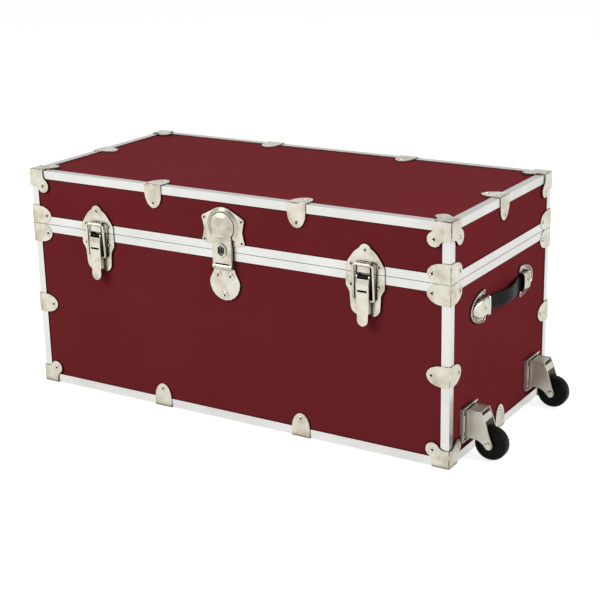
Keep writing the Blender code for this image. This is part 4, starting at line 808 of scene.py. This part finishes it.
def make_cap(face, hand, name):
    place = moved(face, 0, HANDLE_V)
    bm = bmesh.new()
    outline = cap_outline()
    crossed = len(outline) - len(CAP_SIDE)
    rings = []
    for reach, n in CAP_RIM:
        edge = enumerate(inset(outline, reach))
        ring = [(hand * u, -hand * v, n if i < crossed else min(n, UNDER_STRAP)) for i, (u, v) in edge]
        rings.append(points_in(bm, place, ring))
    tube(bm, rings)
    rings = []
    for skin, foot in ((reversed(CAP_HOLLOW), HOLLOW_FOOT), (CAP_SKIN, SKIN_FOOT)):
        for u, half, top in skin:
            ring = [(hand * u, v, n) for v, n in arch(half, top, foot)]
            rings.append(points_in(bm, place, ring))
    tube(bm, rings)
    first, last = BEAD_ARC
    for i in range(BEADS):
        a = math.radians(first + (last - first) * i / (BEADS - 1))
        u, v = CAP_U + BEAD_BOW[0] * math.sin(a), -BEAD_BOW[1] * math.cos(a)
        seat = moved(place, hand * u, hand * v, CAP_N)
        bmesh.ops.create_uvsphere(bm, u_segments=10, v_segments=6, radius=BEAD_R * MM, matrix=seat)
    piece(name, bm, "base", [NICKEL], name.replace("strap_cap", "handle_cap"))


for face, label in ((RIGHT, "right"), (LEFT, "left")):
    for hand in (-1, 1):
        end = "front" if (hand < 0) == (face is RIGHT) else "back"
        make_cap(face, hand, f"strap_cap_{label}_{end}")


# Leather straps: a crowned band with rolled edges, lofted along the handle's bow, and its stitching
SEAT, BOW, BOW_HALF, STRAP_END = 3.9, 11.1, 66.0, 82.5
SKIVED, TAPERED, FADE = 0.52, 0.87, 20.0    # thickness and width left in the caps, and the way to them
STRAP_STEPS = 40                            # stations on each side of the middle
STITCHES, STITCH_PITCH, STITCH_START = 26, 4.4, -58.0
STITCH_LONG, STITCH_R, STITCH_V, STITCH_N = 3.1, 0.42, 9.9, 2.0
STITCH_STEPS, STITCH_SIDES, STITCH_RISE = 4, 6, 0.28


def strap_height(u):
    share = min(1.0, max(0.0, 1.0 - abs(u) / BOW_HALF))
    return SEAT + BOW * (0.5 - 0.5 * math.cos(math.pi * share))


def strap_share(u, least=SKIVED):
    """Share of the full thickness or width, less near the ends."""
    t = min(1.0, max(0.0, (BOW_HALF - abs(u)) / FADE))
    return least + (1 - least) * t * t * (3 - 2 * t)


def strap_section():
    """Half width and height round the band, with a rolled edge, a creased line and a crowned face."""
    half = [(12.5, 0.0), (12.35, 0.9), (11.9, 1.7), (11.2, 2.15), (10.4, 2.2), (9.9, 2.02), (9.4, 2.24)]
    half = half + [(6.0, 2.42), (0.0, 2.5)]
    upper = half + [(-v, n) for v, n in reversed(half[:-1])]
    return upper + [(v, -n) for v, n in reversed(upper[1:-1])]


def strap_band(bm, place):
    section = strap_section()
    rings = []
    for i in range(2 * STRAP_STEPS + 1):
        u = STRAP_END * (i / STRAP_STEPS - 1)
        slope = strap_height(u + 0.5) - strap_height(u - 0.5)
        tangent = Vector((1, 0, slope)).normalized()
        out = Vector((-tangent.z, 0, tangent.x)) * strap_share(u)
        centre = Vector((u, 0, strap_height(u)))
        across = Vector((0, strap_share(u, TAPERED), 0))
        rings.append(points_in(bm, place, [centre + out * n + across * v for v, n in section]))
    tube(bm, rings)


def stitch(bm, place, start, v):
    """One stitch, in a creased line on the outer face."""
    rings = []
    for k in range(STITCH_STEPS + 1):
        u = start + STITCH_LONG * k / STITCH_STEPS
        swell = math.sin(math.pi * k / STITCH_STEPS)
        middle_v = v * strap_share(u, TAPERED)
        middle_n = strap_height(u) + STITCH_N * strap_share(u) + STITCH_RISE * swell
        round_it = circle(STITCH_R * (0.45 + 0.55 * swell), STITCH_SIDES)
        rings.append(points_in(bm, place, [(u, middle_v + a, middle_n + b) for a, b in round_it]))
    tube(bm, rings, paint=1)


def make_strap(face, label):
    place = moved(face, 0, HANDLE_V)
    bm = bmesh.new()
    strap_band(bm, place)
    for k in range(STITCHES):
        for v in both(STITCH_V):
            stitch(bm, place, STITCH_START + STITCH_PITCH * k, v)
    name = f"leather_strap_{label}"
    piece(name, bm, f"handle_strap_{label}", [LEATHER, THREAD], f"handle_strap_{label}")


make_strap(RIGHT, "right")
make_strap(LEFT, "left")


# Studio: a white floor that keeps a faint shadow, a pale surround, and soft lamps
FLOOR_HALF, FLOOR_GLOW = 30.0, 0.80


def make_floor():
    bm = bmesh.new()
    bmesh.ops.create_grid(bm, x_segments=1, y_segments=1, size=FLOOR_HALF)
    mesh = bpy.data.meshes.new("studio_floor")
    bm.to_mesh(mesh)
    bm.free()
    floor = bpy.data.objects.new("studio_floor", mesh)
    bpy.context.scene.collection.objects.link(floor)
    material, tree, shader = new_finish(
        "floor_paper", Roughness=0.9, Specular_IOR_Level=0.0, Emission_Color=(1, 1, 1, 1)
    )
    tone = ramp(tree, noise(tree, rest_coords(tree), 3.0), PAPER)
    feed(tree, tone, shader.inputs["Base Color"])
    rays = added(tree, "ShaderNodeLightPath").outputs
    seen = worked(tree, "MAXIMUM", rays["Is Camera Ray"], rays["Is Glossy Ray"])
    seen = worked(tree, "MAXIMUM", seen, rays["Is Transmission Ray"])
    feed(tree, worked(tree, "MULTIPLY", seen, FLOOR_GLOW), shader.inputs["Emission Strength"])
    mesh.materials.append(material)


def make_world():
    world = bpy.data.worlds.new("studio")
    bpy.context.scene.world = world
    world.use_nodes = True
    tree = world.node_tree
    height = parts_of(tree, added(tree, "ShaderNodeTexCoord").outputs["Generated"])["Z"]
    feed(tree, ramp(tree, height, SURROUND), tree.nodes["Background"].inputs["Color"])


def lamp(name, place, target, size, power):
    data = bpy.data.lights.new(name, "AREA")
    data.shape = "RECTANGLE"
    data.size, data.size_y = size
    data.energy = power
    obj = bpy.data.objects.new(name, data)
    obj.location = place
    obj.rotation_euler = (Vector(target) - Vector(place)).to_track_quat("-Z", "Y").to_euler()
    bpy.context.scene.collection.objects.link(obj)


make_floor()
make_world()
lamp("key_softbox", (-1.9, -2.4, 2.3), (0, 0, 0.2), (1.4, 1.4), 71.0)
lamp("side_softbox", (2.9, -0.3, 1.9), (0.2, 0, 0.2), (1.2, 1.4), 46.0)
lamp("top_softbox", (-0.2, 0.3, 3.0), (0, 0, 0.3), (1.8, 1.2), 12.0)

# Camera at the photograph's viewing angle, for a square frame
yaw, pitch, roll = math.radians(32.05), math.radians(17.88), math.radians(-1.27)
level_right = Vector((math.cos(yaw), math.sin(yaw), 0))
backward = Vector((math.sin(yaw) * math.cos(pitch), -math.cos(yaw) * math.cos(pitch), math.sin(pitch)))
upward = backward.cross(level_right)
right = level_right * math.cos(roll) + upward * math.sin(roll)
up = upward * math.cos(roll) - level_right * math.sin(roll)
camera_data = bpy.data.cameras.new("photo_camera")
camera_data.sensor_width = 36.0
camera_data.lens = 85.29
camera = bpy.data.objects.new("photo_camera", camera_data)
view = Matrix((right, up, backward)).transposed().to_4x4()
view.translation = Vector((CX + 1.27477, CY - 1.99841, 0.92313))
camera.matrix_world = view
bpy.context.scene.collection.objects.link(camera)
bpy.context.scene.camera = camera
bpy.context.scene.view_settings.view_transform = "Standard"
